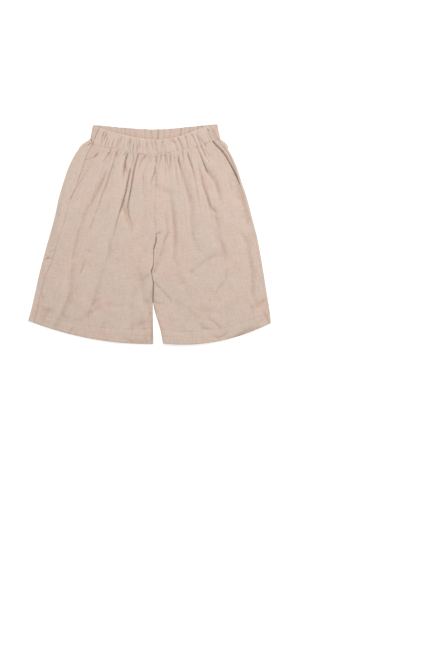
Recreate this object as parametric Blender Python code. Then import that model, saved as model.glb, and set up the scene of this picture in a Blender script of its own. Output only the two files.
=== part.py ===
"""Pull-on hemp shorts with an elastic waist, lying flat on their back.

Frame: X to the wearer's left, Y towards the waist, Z up. The underside lies
at z = 0 and the origin is under the centre of the bounding box. The tables
are in millimetres. Every piece is a wall of cloth: its outer face is worked
out from sections of the garment, and its inner face is offset from that.
"""
import math
from collections import namedtuple

import bmesh
import bpy
import numpy as np

MM = 0.001

# Driving sizes, in millimetres.
CLOTH = 1.5             # wall of one layer
HEM_CLOTH = 2.6         # wall where the hem is turned up and doubled
BAND_CLOTH = 3.0        # wall of the waist casing with its elastic
SEAM_GAP = 0.3          # clearance between two pieces sewn together
SIDE_FOLD = 7.0         # height of the rounded fold along a leg's edge
BAND_FOLD = 8.5         # the same at the waistband's ends
SHOULDER = 40.0         # distance over which a panel rises from its edge
INSEAM_TURN = 4.0       # how far the front panel runs under the inner edge
MOUTH_LIFT = 2.3        # how far the pocket mouth stands off the facing
MOUTH_OPEN = 8.0        # facing shown that gives the mouth its whole lift
FACING_REACH = 22.0     # how far a facing runs in under the front panel
LAYER_CLEAR = 0.5       # air kept between the front and the back layer
RIDGE_RISE = 1.6        # height of a gathered ridge on the waistband

# Mesh counts.
ROWS_PER_SECTION = 2
FRONT_COLUMNS = 24
BACK_COLUMNS = 9
ROUND_STEPS = 6
WRAP_COLUMNS = 3
FACING_COLUMNS = 8
FRONT_RIDGES = 32
BACK_RIDGES = 34
BAND_ROWS = 4
FOLD_STEPS = 24

# One row for each section of a leg, from the waist seam to the hem's edge.
# outer: the leg's outer edge. inner_x: the centre seam, then the inner leg.
# front_y, back_y: where the section of each layer ends at inner_x.
# bow: how far the section dips between its ends. seam, mouth: distances from
# the outer edge to the side seam and to the front panel's edge. crown: rise
# of the front above its edge. turn: 0 at the centre seam, 1 where the front
# rounds down to the inseam.
Section = namedtuple("Section", "outer_x outer_y inner_x front_y front_bow "
                     "back_y back_bow seam mouth crown turn")

RIGHT_LEG = (
    Section(-166, 267, 17, 223, 11.43, 254, 3.38, 9, 28, 3.0, 0),
    Section(-199, 238, 17, 190, 12, 219, 5, 26, 54, 6.0, 0),
    Section(-224, 193, 17, 148, 12, 172, 7, 34, 52, 7.0, 0),
    Section(-240, 148, 17, 100, 12, 118, 9, 35, 43, 7.0, 0),
    Section(-254, 103, 17, 52, 13, 62, 11, 30, 30, 6.5, 0),
    Section(-266, 50, 16.5, 5, 14, 5, 14, 28, 28, 6.0, 0.5),
    Section(-281, -5, 11, -45, 15, -45, 15, 25, 25, 5.0, 1),
    Section(-296, -60, 9, -98, 16, -98, 16, 24, 24, 4.0, 1),
    Section(-310, -115, 8.5, -150, 17, -150, 17, 18, 18, 3.5, 1),
    Section(-321, -165, 8, -205, 18, -205, 18, 15, 15, 3.0, 1),
    Section(-332, -212, 7, -262, 18, -264, 18, 16, 16, 2.0, 1),
    Section(-340, -243, 9, -303, 18, -307, 18, 16, 16, 1.5, 1),
)
LEFT_LEG = (
    Section(193, 267, 17, 223, 10.58, 254, 3.12, 6, 18, 3.0, 0),
    Section(220, 238, 17, 190, 11, 219, 5, 6, 22, 6.0, 0),
    Section(242, 193, 17, 148, 11, 172, 7, 6, 18, 7.0, 0),
    Section(257, 148, 17, 100, 11, 118, 9, 6, 12, 7.0, 0),
    Section(272, 103, 17, 52, 12, 62, 11, 6, 6, 6.5, 0),
    Section(286, 50, 18, 5, 13, 5, 13, 6, 6, 6.0, 0.5),
    Section(301, -8, 12.5, -45, 15, -45, 15, 6, 6, 5.0, 1),
    Section(311, -60, 10.5, -98, 17, -98, 17, 6, 6, 4.0, 1),
    Section(320, -115, 10, -150, 18, -150, 18, 6, 6, 3.5, 1),
    Section(328, -165, 13, -205, 20, -205, 20, 6, 6, 3.0, 1),
    Section(335, -213, 29, -262, 21, -262, 21, 6, 6, 2.0, 1),
    Section(340, -249, 38, -306, 21, -305, 21, 6, 6, 1.5, 1),
)
LAST_POCKET_SECTION = 4
HEM_SECTION = 10

# One row for each large fold of a front: a trough that runs from its top
# through its middle to its foot.
Fold = namedtuple("Fold", "name top_x top_y mid_x mid_y foot_x foot_y depth width")

RIGHT_FOLDS = (
    Fold("hip tuck", -112, 236, -118, 226, -128, 214, 4.0, 5),
    Fold("outer pleat", -90, 238, -118, 165, -153, 45, 6.0, 6),
    Fold("second pleat", -64, 236, -71, 195, -77, 150, 7.0, 5),
    Fold("long pleat", -58, 200, -80, 80, -118, -60, 8.5, 7),
    Fold("inner pleat", -34, 226, -52, 140, -56, 32, 8.5, 6),
    Fold("front tuck", -8, 224, -24, 190, -32, 150, 3.5, 5),
    Fold("thigh trough", -118, 165, -180, 60, -222, -120, 6.0, 15),
    Fold("knee trough", -118, -60, -150, -170, -184, -232, 3.5, 13),
    Fold("hem trough", -222, -140, -240, -215, -266, -262, 3.0, 11),
)
LEFT_FOLDS = (
    Fold("front tuck", 57, 228, 55, 205, 54, 180, 3.5, 5),
    Fold("inner pleat", 79, 230, 95, 165, 118, 60, 6.5, 8),
    Fold("inner trough", 118, 60, 120, 0, 128, -45, 4.0, 10),
    Fold("second pleat", 105, 238, 120, 170, 140, 60, 6.0, 5),
    Fold("outer pleat", 130, 246, 152, 190, 185, 135, 8.0, 6),
    Fold("long pleat", 138, 175, 158, 115, 184, 62, 8.5, 7),
    Fold("thigh trough", 186, 60, 200, 0, 206, -60, 5.0, 12),
    Fold("crotch pleat", 58, 120, 69, 20, 76, -90, 6.5, 9),
    Fold("crotch tuck", 46, 70, 48, 10, 34, -60, 5.0, 7),
    Fold("pocket trough", 226, 165, 250, 105, 276, 30, 4.0, 9),
    Fold("side trough", 278, 0, 284, -70, 292, -160, 3.0, 9),
    Fold("inseam crease", 12, -130, 60, -185, 140, -240, 3.5, 8),
)

# The waistband's two edges. bow: dip of its front and back between the ends.
# wrap: how far the back piece comes round onto the front at each end.
# rise: height of the front piece above its ends.
Edge = namedtuple("Edge", "left_x left_y right_x right_y front_bow back_bow "
                  "left_wrap right_wrap rise")

BAND_TOP = Edge(-160, 306, 187, 308, 42, 13, 17, 20, 0.5)
BAND_FOOT = Edge(-166, 267, 193, 267, 44, 13, 9, 6, 1.6)

CLOTH_COLOR = (0.64, 0.50, 0.42, 1.0)
INSIDE_COLOR = (0.60, 0.46, 0.38, 1.0)
CLOTH_ROUGHNESS = 0.92


def clear_scene():
    """Remove the objects that the scene opens with."""
    for thing in list(bpy.data.objects):
        bpy.data.objects.remove(thing, do_unlink=True)


def hemp(name, color):
    """A matt woven cloth."""
    material = bpy.data.materials.new(name)
    material.use_nodes = True
    shader = material.node_tree.nodes["Principled BSDF"]
    shader.inputs["Base Color"].default_value = color
    shader.inputs["Roughness"].default_value = CLOTH_ROUGHNESS
    shader.inputs["Metallic"].default_value = 0.0
    return material


def blend(first, second, share):
    """A value or table row between two others."""
    if isinstance(first, tuple):
        return type(first)(*(blend(a, b, share) for a, b in zip(first, second)))
    return first + (second - first) * share


def rounded(before, first, second, after, share):
    """A value on the smooth curve through four table values."""
    slope_in = (second - before) / 2
    slope_out = (after - first) / 2
    cubic = 2 * first - 2 * second + slope_in + slope_out
    square = 3 * second - 3 * first - 2 * slope_in - slope_out
    return ((cubic * share + square) * share + slope_in) * share + first


def section_at(table, place):
    """The leg's section at a place counted in table rows."""
    last = len(table) - 1
    index = min(int(place), last - 1)
    share = place - index
    near = [table[min(max(index + step, 0), last)] for step in (-1, 0, 1, 2)]
    row = blend(near[1], near[2], share)
    outer_x = rounded(*(item.outer_x for item in near), share)
    outer_y = rounded(*(item.outer_y for item in near), share)
    return row._replace(outer_x=outer_x, outer_y=outer_y)


def places(first, last, per_row):
    """Evenly spaced places from one table row to another."""
    return np.linspace(first, last, (last - first) * per_row + 1)


def layer_point(section, distance, layer, height):
    """A point on the front or back layer, this far in from the outer edge."""
    inner_y, bow = (section.front_y, section.front_bow)
    if layer == "back":
        inner_y, bow = (section.back_y, section.back_bow)
    share = distance / width_of(section)
    x = blend(section.outer_x, section.inner_x, share)
    y = blend(section.outer_y, inner_y, share) - 4 * bow * share * (1 - share)
    return (x, y, height)


def width_of(section):
    return abs(section.inner_x - section.outer_x)


def fold_line(fold):
    """Points along a fold, and its depth at each of them."""
    top = np.array((fold.top_x, fold.top_y), float)
    middle = np.array((fold.mid_x, fold.mid_y), float)
    foot = np.array((fold.foot_x, fold.foot_y), float)
    share = np.linspace(0, 1, FOLD_STEPS)[:, None]
    handle = 2 * middle - (top + foot) / 2
    line = (1 - share) ** 2 * top + 2 * share * (1 - share) * handle + share ** 2 * foot
    depth = fold.depth * np.sqrt(np.sin(math.pi * (0.12 + 0.88 * share[:, 0])) + 1e-9)
    return line, depth


def trough(folds, x, y):
    """How deep the folds press the front down at a point."""
    total = 0.0
    for fold in folds:
        line, depth = fold_line(fold)
        distance = np.hypot(line[:, 0] - x, line[:, 1] - y)
        total = max(total, float(np.max(depth * np.exp(-(distance / fold.width) ** 2))))
    return total


def swell(distance):
    """Rise of a panel from 0 at its edge to 1 past its shoulder."""
    return math.sin(math.pi / 2 * min(max(distance / SHOULDER, 0.0), 1.0))


def front_height(section, folds, distance, wall):
    """Height of the outer face of the front layer."""
    side = swell(distance - SIDE_FOLD / 2)
    inside = blend(1.0, swell(width_of(section) - SIDE_FOLD / 2 - distance), section.turn)
    x, y, _ = layer_point(section, distance, "front", 0)
    height = SIDE_FOLD + (section.crown - trough(folds, x, y)) * side * inside
    return max(height, 2 * wall + LAYER_CLEAR)


def mouth_lift(section):
    """How far the pocket mouth is lifted off the facing under it."""
    return MOUTH_LIFT * min((section.mouth - section.seam) / MOUTH_OPEN, 1.0)


def front_row(section, folds, wall):
    """The front panel's outer face across one section."""
    radius = SIDE_FOLD / 2
    start = section.mouth + SEAM_GAP / 2
    flat_end = width_of(section) - radius
    lift = mouth_lift(section)
    row = []
    for distance in np.linspace(start, flat_end, FRONT_COLUMNS):
        fading = math.exp(-(distance - start) / FACING_REACH)
        height = front_height(section, folds, distance, wall) + lift * fading
        row.append(layer_point(section, distance, "front", height))
    top = front_height(section, folds, flat_end, wall)
    seam_end = width_of(section) - SEAM_GAP / 2
    for step in range(1, ROUND_STEPS + 2):
        angle = math.pi * min(step / ROUND_STEPS, 1.0)
        under = INSEAM_TURN if step > ROUND_STEPS else 0.0
        flat = blend(flat_end, seam_end, step / (ROUND_STEPS + 1))
        turned = flat_end + radius * math.sin(angle) - under
        lowered = top - radius + radius * math.cos(angle)
        distance = blend(flat, turned, section.turn)
        row.append(layer_point(section, distance, "front", blend(top, lowered, section.turn)))
    return row


def back_row(section, folds, wall):
    """The back panel's outer face, from the side seam round to the middle."""
    radius = SIDE_FOLD / 2
    row = []
    for distance in np.linspace(section.seam - SEAM_GAP / 2, radius + 0.5, WRAP_COLUMNS):
        height = front_height(section, folds, distance, wall)
        row.append(layer_point(section, distance, "front", height))
    for step in range(ROUND_STEPS + 1):
        angle = math.pi * step / ROUND_STEPS
        layer = "front" if step < ROUND_STEPS / 2 else "back"
        distance = radius - radius * math.sin(angle)
        row.append(layer_point(section, distance, layer, radius + radius * math.cos(angle)))
    retreat = blend(SEAM_GAP / 2, radius + INSEAM_TURN + SEAM_GAP, min(2 * section.turn, 1.0))
    end = width_of(section) - retreat
    for distance in np.linspace(radius, end, BACK_COLUMNS)[1:]:
        row.append(layer_point(section, distance, "back", 0.0))
    return row


def facing_row(section, folds, wall):
    """The strip of pocket facing that shows, and its reach under the front."""
    start = section.seam + SEAM_GAP / 2
    beside = front_height(section, folds, start, wall)
    lift = mouth_lift(section)
    row = []
    for distance in np.linspace(start, section.mouth + FACING_REACH, FACING_COLUMNS):
        height = beside
        if distance > section.mouth - FACING_REACH / FACING_COLUMNS:
            fading = math.exp(-max(distance - section.mouth, 0) / FACING_REACH)
            over = front_height(section, folds, distance, wall) + lift * fading
            height = min(beside, over - wall - LAYER_CLEAR)
        height = max(height, 2 * wall + SEAM_GAP)
        row.append(layer_point(section, distance, "front", height))
    return row


def unit(vectors):
    return vectors / np.maximum(np.linalg.norm(vectors, axis=-1, keepdims=True), 1e-12)


def without(normals, direction):
    """Take out of the normals what points along a level direction."""
    level = direction * (1.0, 1.0, 0.0)
    level = unit(level)
    return unit(normals - np.sum(normals * level, axis=-1, keepdims=True) * level)


def inner_face(outer, walls, handed):
    """Offset a grid of points to the other side of its cloth."""
    across = np.gradient(outer, axis=1)
    along = np.gradient(outer, axis=0)
    normals = unit(np.cross(across, along)) * handed
    normals[0] = without(normals[0], along[0])
    normals[-1] = without(normals[-1], along[-1])
    for column in (0, -1):
        upright = np.abs(normals[:, column, 2:]) > 0.7
        squared = without(normals[:, column], across[:, column])
        normals[:, column] = np.where(upright, squared, normals[:, column])
    return outer - normals * walls


def cloth_wall(name, outer, inner, color):
    """Close two grids of points into one solid piece of cloth."""
    rows, columns, _ = outer.shape
    bm = bmesh.new()
    faces = []
    for grid in (outer, inner):
        points = [[bm.verts.new(point * MM) for point in row] for row in grid]
        faces.append(points)
    for points in faces:
        for r in range(rows - 1):
            for c in range(columns - 1):
                bm.faces.new((points[r][c], points[r][c + 1], points[r + 1][c + 1],
                              points[r + 1][c]))
    rim = [(0, c) for c in range(columns)]
    rim += [(r, columns - 1) for r in range(1, rows)]
    rim += [(rows - 1, c) for c in range(columns - 2, -1, -1)]
    rim += [(r, 0) for r in range(rows - 2, 0, -1)]
    for here, there in zip(rim, rim[1:] + rim[:1]):
        bm.faces.new((faces[0][here[0]][here[1]], faces[0][there[0]][there[1]],
                      faces[1][there[0]][there[1]], faces[1][here[0]][here[1]]))
    bmesh.ops.triangulate(bm, faces=bm.faces[:])
    bmesh.ops.recalc_face_normals(bm, faces=bm.faces[:])
    mesh = bpy.data.meshes.new(name)
    bm.to_mesh(mesh)
    bm.free()
    mesh.shade_smooth()
    piece = bpy.data.objects.new(name, mesh)
    piece.data.materials.append(hemp(name + "_cloth", color))
    bpy.context.scene.collection.objects.link(piece)
    return piece


def leg_pieces(side, table, folds, handed):
    """The front panel, the back panel and the pocket facing of one leg."""
    stations = places(0, len(table) - 1, ROWS_PER_SECTION)
    walls = [HEM_CLOTH if place >= HEM_SECTION else CLOTH for place in stations]
    sections = [section_at(table, place) for place in stations]
    thickness = np.array(walls)[:, None, None]
    pieces = []
    for layer, row_of, sign in (("front", front_row, 1), ("back", back_row, -1)):
        outer = np.array([row_of(section, folds, wall)
                          for section, wall in zip(sections, walls)])
        outer[0, :, 1] -= SEAM_GAP / 2
        inner = inner_face(outer, thickness, sign * handed)
        pieces.append(cloth_wall(f"{layer}_{side}_leg", outer, inner, CLOTH_COLOR))
    pocket = [item for item in sections if item.mouth - item.seam > SEAM_GAP * 10]
    outer = np.array([facing_row(section, folds, CLOTH) for section in pocket])
    outer[0, :, 1] -= SEAM_GAP / 2
    inner = inner_face(outer, CLOTH, handed)
    pieces.append(cloth_wall(f"pocket_facing_{side}", outer, inner, INSIDE_COLOR))
    return pieces


def band_point(edge, distance, layer, height):
    """A point on the waistband, this far from its left end."""
    share = distance / (edge.right_x - edge.left_x)
    bow = edge.front_bow if layer == "front" else edge.back_bow
    x = blend(edge.left_x, edge.right_x, share)
    y = blend(edge.left_y, edge.right_y, share) - 4 * bow * share * (1 - share)
    return (x, y, height)


def band_height(edge, distance):
    """Height of the waistband's front before its ridges are added."""
    length = edge.right_x - edge.left_x
    near_end = min(distance, length - distance) - BAND_FOLD / 2
    return BAND_FOLD + edge.rise * swell(near_end)


def ridge(index):
    """Height of the gathers at a column: troughs between uneven ridges."""
    if index % 2 == 0:
        return 0.0
    return RIDGE_RISE * (0.75 + 0.25 * math.sin(2.4 * index))


def band_front_row(edge):
    """Outer face and wall of the front of the waistband."""
    length = edge.right_x - edge.left_x
    start = edge.left_wrap + SEAM_GAP / 2
    end = length - edge.right_wrap - SEAM_GAP / 2
    row, walls = [], []
    for index, distance in enumerate(np.linspace(start, end, 2 * FRONT_RIDGES + 1)):
        height = band_height(edge, distance) + ridge(index)
        row.append(band_point(edge, distance, "front", height))
        walls.append(BAND_CLOTH + ridge(index))
    return row, walls


def band_end(edge, wrap, mirrored):
    """The rounded end of the waistband, with what wraps onto the front."""
    length = edge.right_x - edge.left_x
    radius = BAND_FOLD / 2
    row = []
    for distance in np.linspace(wrap - SEAM_GAP / 2, radius + 0.5, WRAP_COLUMNS):
        row.append((distance, "front", band_height(edge, distance)))
    for step in range(ROUND_STEPS + 1):
        angle = math.pi * step / ROUND_STEPS
        layer = "front" if step < ROUND_STEPS / 2 else "back"
        row.append((radius - radius * math.sin(angle), layer,
                    radius + radius * math.cos(angle)))
    if mirrored:
        row = [(length - distance, layer, height) for distance, layer, height in row[::-1]]
    return [band_point(edge, *item) for item in row]


def band_back_row(edge):
    """Outer face and wall of the back of the waistband, end round to end."""
    length = edge.right_x - edge.left_x
    radius = BAND_FOLD / 2
    first = band_end(edge, edge.left_wrap, False)
    last = band_end(edge, edge.right_wrap, True)
    middle, walls = [], [BAND_CLOTH] * len(first)
    spaced = np.linspace(radius, length - radius, 2 * BACK_RIDGES + 1)[1:-1]
    for index, distance in enumerate(spaced):
        middle.append(band_point(edge, distance, "back", 0.0))
        walls.append(BAND_CLOTH + ridge(index) / 2)
    walls += [BAND_CLOTH] * len(last)
    return first + middle + last, walls


def band_pieces():
    """The front and the back of the gathered waistband."""
    edges = [blend(BAND_TOP, BAND_FOOT, share) for share in np.linspace(0, 1, BAND_ROWS)]
    pieces = []
    for layer, row_of, handed in (("front", band_front_row, -1), ("back", band_back_row, 1)):
        rows = [row_of(edge) for edge in edges]
        outer = np.array([row for row, _ in rows])
        walls = np.array([wall for _, wall in rows])[:, :, None]
        outer[-1, :, 1] += SEAM_GAP / 2
        inner = inner_face(outer, walls, handed)
        color = CLOTH_COLOR if layer == "front" else INSIDE_COLOR
        pieces.append(cloth_wall(f"waistband_{layer}", outer, inner, color))
    return pieces


def centre_on_origin(pieces):
    """Put the origin under the centre of the whole garment's box."""
    points = np.array([vertex.co for piece in pieces for vertex in piece.data.vertices])
    low, high = points.min(axis=0), points.max(axis=0)
    shift = ((low[0] + high[0]) / 2, (low[1] + high[1]) / 2, low[2])
    for piece in pieces:
        for vertex in piece.data.vertices:
            vertex.co = [value - move for value, move in zip(vertex.co, shift)]


def main():
    clear_scene()
    pieces = leg_pieces("right", RIGHT_LEG, RIGHT_FOLDS, -1)
    pieces += leg_pieces("left", LEFT_LEG, LEFT_FOLDS, 1)
    pieces += band_pieces()
    centre_on_origin(pieces)


main()
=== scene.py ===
"""Looks of the hemp shorts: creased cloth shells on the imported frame.

The tables are in millimetres, in the garment's own frame: X to the wearer's
left, Y towards the waist, Z up, underside at z = 0. They are scaled to the
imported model's box. Each piece of cloth is a thin closed shell that stands for
one CAD node. "West" is towards -X and "east" towards +X.
"""
import math
from collections import namedtuple

import bpy
import numpy as np
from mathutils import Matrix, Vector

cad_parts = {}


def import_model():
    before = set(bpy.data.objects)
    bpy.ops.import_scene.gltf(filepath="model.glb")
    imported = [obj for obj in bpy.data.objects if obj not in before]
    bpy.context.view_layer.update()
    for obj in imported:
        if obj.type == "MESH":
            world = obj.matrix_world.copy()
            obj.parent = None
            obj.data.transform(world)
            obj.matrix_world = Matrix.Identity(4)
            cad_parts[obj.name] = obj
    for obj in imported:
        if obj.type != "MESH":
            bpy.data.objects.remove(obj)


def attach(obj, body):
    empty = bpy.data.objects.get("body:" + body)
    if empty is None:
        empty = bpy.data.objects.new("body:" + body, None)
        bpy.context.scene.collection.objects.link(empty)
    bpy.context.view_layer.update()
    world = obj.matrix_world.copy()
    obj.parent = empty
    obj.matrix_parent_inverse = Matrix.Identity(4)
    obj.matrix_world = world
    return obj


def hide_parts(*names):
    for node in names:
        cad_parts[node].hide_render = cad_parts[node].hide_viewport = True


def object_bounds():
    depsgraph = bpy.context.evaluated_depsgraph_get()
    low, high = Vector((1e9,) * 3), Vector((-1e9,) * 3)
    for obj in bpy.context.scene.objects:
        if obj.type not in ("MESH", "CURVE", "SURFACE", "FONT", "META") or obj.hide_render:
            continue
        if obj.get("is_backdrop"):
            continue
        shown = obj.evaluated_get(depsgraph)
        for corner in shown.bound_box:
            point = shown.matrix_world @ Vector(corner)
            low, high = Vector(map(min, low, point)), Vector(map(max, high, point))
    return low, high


# Driving sizes of the garment, in millimetres.
GARMENT_WIDTH = 680.0
SHELL = 1.0             # thickness of one layer of cloth
SEAM_GAP = 0.12         # clearance between two pieces sewn together
SIDE_FOLD = 7.0         # height of the rounded fold along a leg's edge
BLUNT = 0.5             # how blunt that fold is: 1 is round
SHOULDER = 80.0         # distance over which a panel rises from its edge
WAIST_LEVEL = 10.0      # height of the seam between the front and its casing
WAIST_FIT = 60.0        # how far down the front is drawn to meet its casing
WAIST_HOLD = 22.0       # distance over which that seam holds the front at its level
UNDER_WAIST = (0.4, 9.0, 7.0)  # a swell below it: its height, how far down, how wide
WAIST_PINCH = 0.35      # depth of that seam
PINCH_REACH = 2.2       # and how wide it is
SEAM_ROLL = 0.4         # how far cloth rolls down into the other seams
CENTRE_ROLL = 0.15      # and into the flat centre seam
ROLL_REACH = 1.8        # and from how far away
TURN_BETWEEN = (0.52, 0.75)  # where the tables' turn brings the crotch's rounding
CENTRE_ROOM = 1.0       # the front's face ends this far from the centre seam
MEETING_FADE = 18.0     # how far from its inner edge a leg follows the line where they meet
POCKET_END = 4.0        # the row of the tables where the pocket mouth closes
MOUTH_OPEN = 8.0        # the mouth is fully open at this distance from the seam
INNER_FALL = 0.15       # how much of its crown the front loses at the inner leg
FOLD_STRENGTH = 1.3     # common scale of the folds' depths
FOLD_FADE = 12.0        # distance over which folds die out at an edge
CORE_SHARE = 0.6        # share of a fold in its narrow groove, not its wide flanks
GROOVE_POWER = 1.8      # at 2 the groove has a round bottom, at less a sharper one
FLANK_ROUND = 0.7       # how round the flanks are where they meet, in reaches
FLANK_REACH = 2.0       # and how wide they are
INSEAM_TURN = 4.0       # how far the front panel runs under the inner edge
LOWEST_FRONT = 3.8      # folds press the front's outer face no lower than this
HEM_SAG_REACH = 40.0    # distance over which the front comes down to its hem
FACING_REACH = 22.0     # how far a facing runs in under the front panel
LOWEST_FACING = 3.0     # a facing's outer face never dips below this
FACING_SHELL = 0.6      # thickness of a facing

BAND_HALF = 1.9         # half the thickness of the waist casing
BAND_FRONT_LEVEL = 8.6  # middle of the front casing
BAND_BACK_LEVEL = 2.4   # middle of the back casing
BAND_ROUND = 2.6        # radius of the casing's top edge, seen from above
BAND_PUFF = 2.7         # the front casing's outer face over its middle
DEEPEST_CASING = -0.5   # and where its folds press it furthest down
GATHER_DEPTH = 2.3      # common scale of the unnamed gathers' depths
FOLD_STEP = 2.0         # between the points worked out on a fold's line
FOLD_LIMIT = 8          # a fold reaches no further than this many of its reaches
SHARP_EDGE = 72         # edges turned by more than these degrees look sharp
CAVITY_PASSES = (18, 160)   # how widely a point is compared with the cloth around it
CAVITY_FULL = (1.9, 5.0)    # depth below that cloth that takes the full painted shade
BAND_CAVITY_FULL = (1.3, 4.5)   # the same on the waistband
PALEST_CREST_HIGHLIGHT = -0.6     # the painted highlight of the sharpest crest
LAP_PALER = 0.8         # how much paler the casing's ends are
SEAM_TONE = 0.9         # darker tone along a seam
SEAM_DARK = 1.7         # how wide that is on the legs
LAP_DARK = 1.6          # and at the casing's ends
MOUTH_SHADOW_TONE = 0.4        # and painted shadow under the edge of a pocket mouth
INSEAM_SHADE_TONE = 1.3       # and painted shade down between the legs
EDGE_SHADE_TONE = 0.35        # and painted shade along the legs' inner edges
BAND_TONE = -0.25       # and over the casing, which is palest in the west
HEM_SHADE_TONE = 0.9          # and painted shade at the hem's edge

STITCH_PITCH = 3.4      # from the start of one stitch to the next
STITCH_LENGTH = 2.5
STITCH_HALF = 0.3       # half a stitch's thickness
MOUTH_STITCH = 9.0      # from the pocket's mouth to its stitches
CASING_STITCH = 2.0     # from the casing's seam to its stitches

# Mesh counts.
LEG_ROWS = 250
FRONT_COLUMNS = 174
ROUND_STEPS = 11
WRAP_COLUMNS = 18
UNDER_COLUMNS = 110
FACING_ROWS = 110
FACING_COLUMNS = 26
BAND_COLUMNS = 460
BAND_ROWS = 20
BAND_TOP_ROWS = 7       # of them round the casing's top
LAP_COLUMNS = 14        # of the back casing on each end of the front
TURN_COLUMNS = 15       # and round each end
BACK_COLUMNS = 418      # and between them
KNOTS = 101             # random values each way, before they repeat

# Soft relief over the front: the depth of its humps, their width and height.
FRONT_RUMPLES = ((0.8, 45, 70), (0.3, 13, 17), (0.18, 6, 7))

# Lengths along the cloth's threads: down a leg, and along the two casings.
LEG_GRAIN = 560
FRONT_BAND_GRAIN = 520
BACK_BAND_GRAIN = 620

# The front's inner edge on the legs: how far down it is, as a share of its
# height, and how far out from where it starts to turn.
INSEAM_PROFILE = ((0, 0), (0.04, 1.2), (0.14, 1.9), (0.4, 2.6), (0.7, 3.3), (0.9, 3.4),
                  (1, 1.6), (1, -4))

# One row for each section of a leg, from the waist seam to the hem's edge.
# outer: the leg's outer edge. inner_x: the centre seam, then the inner leg.
# front_y, back_y: where the section of each layer ends at inner_x.
# bow: how far the section dips between its ends. seam, mouth: distances from
# the outer edge to the side seam and to the front panel's edge. crown: rise
# of the front above its edge. turn: 0 at the centre seam, 1 where the front
# rounds down to the inseam.
SECTION_FIELDS = ("outer_x outer_y inner_x front_y front_bow back_y back_bow "
                  "seam mouth crown turn")
Sections = namedtuple("Sections", SECTION_FIELDS)

RIGHT_LEG = (
    (-166, 267, 17, 223, 11.43, 254, 3.38, 9, 28, 3.0, 0),
    (-199, 238, 17, 190, 12, 219, 5, 26, 50, 4.5, 0),
    (-224, 193, 17, 148, 12, 172, 7, 34, 51, 5.2, 0),
    (-240, 148, 17, 100, 12, 118, 9, 35, 40, 5.4, 0),
    (-253.4, 103, 17, 52, 13, 62, 11, 30, 30, 5.2, 0),
    (-265, 50, 16.5, 5, 14, 5, 14, 28, 28, 5.0, 0.5),
    (-280, -5, 11, -45, 15, -45, 15, 25, 25, 4.4, 1),
    (-295.2, -60, 9, -98, 16, -98, 16, 24, 24, 3.6, 1),
    (-309.4, -115, 8.5, -150, 17, -150, 17, 18, 18, 2.8, 1),
    (-320.4, -165, 8, -205, 18, -205, 18, 15, 15, 2.0, 1),
    (-331.4, -212, 9, -262, 17, -262, 17, 16, 16, 1.4, 1),
    (-340, -242, 10, -307, 17.5, -306, 17.5, 16, 16, 1.0, 1),
)
LEFT_LEG = (
    (198, 267, 17, 223, 10.58, 254, 3.12, 6, 23, 3.0, 0),
    (220, 238, 17, 190, 11, 219, 5, 6, 17.5, 5.0, 0),
    (242, 193, 17, 148, 11, 172, 7, 6, 14.5, 5.8, 0),
    (257, 148, 17, 100, 11, 118, 9, 6, 7.6, 6.2, 0),
    (272, 103, 17, 52, 12, 62, 11, 6, 6, 6.0, 0),
    (286, 50, 18, 5, 13, 5, 13, 6, 6, 5.5, 0.5),
    (301, -8, 12.5, -45, 15, -45, 15, 6, 6, 4.6, 1),
    (311, -60, 10.5, -98, 17, -98, 17, 6, 6, 3.6, 1),
    (320, -115, 10, -150, 18, -150, 18, 6, 6, 2.6, 1),
    (328, -165, 13, -205, 21, -205, 21, 6, 6, 1.6, 1),
    (336, -213, 29.5, -262, 23, -262, 23, 6, 6, 0.9, 1),
    (340, -248, 38.5, -306, 23, -305, 23, 6, 6, 0.6, 1),
)

# The waistband's edges, as points (x, y) of smooth lines.
FRONT_TOP = ((-160, 306), (-143, 298), (-128, 294), (-110, 287), (-80, 280), (-43, 272),
             (-5, 266), (22, 265), (60, 269), (88, 276), (112, 284), (140, 295),
             (165, 303), (187, 308))
FRONT_FOOT = ((-166, 267), (-158, 254), (-150, 248), (-130, 243), (-85, 236), (-50, 227),
              (-10, 222), (20, 223), (60, 229), (100, 238), (130, 245), (160, 254),
              (198, 267))
BACK_TOP = ((-160, 306), (-115, 302), (-71, 298), (-26, 294.5), (20, 293.5), (50, 294.5),
            (86, 298), (131, 302.5), (187, 308))
BACK_FOOT = ((-166, 267), (-76, 257.5), (13.5, 254), (103, 257.5), (198, 267))
BAND_ENDS = {"top": (-158, 190), "foot": (-166, 198)}
BAND_WRAPS = {"top": (17, 21), "foot": (8, 6)}

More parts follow.
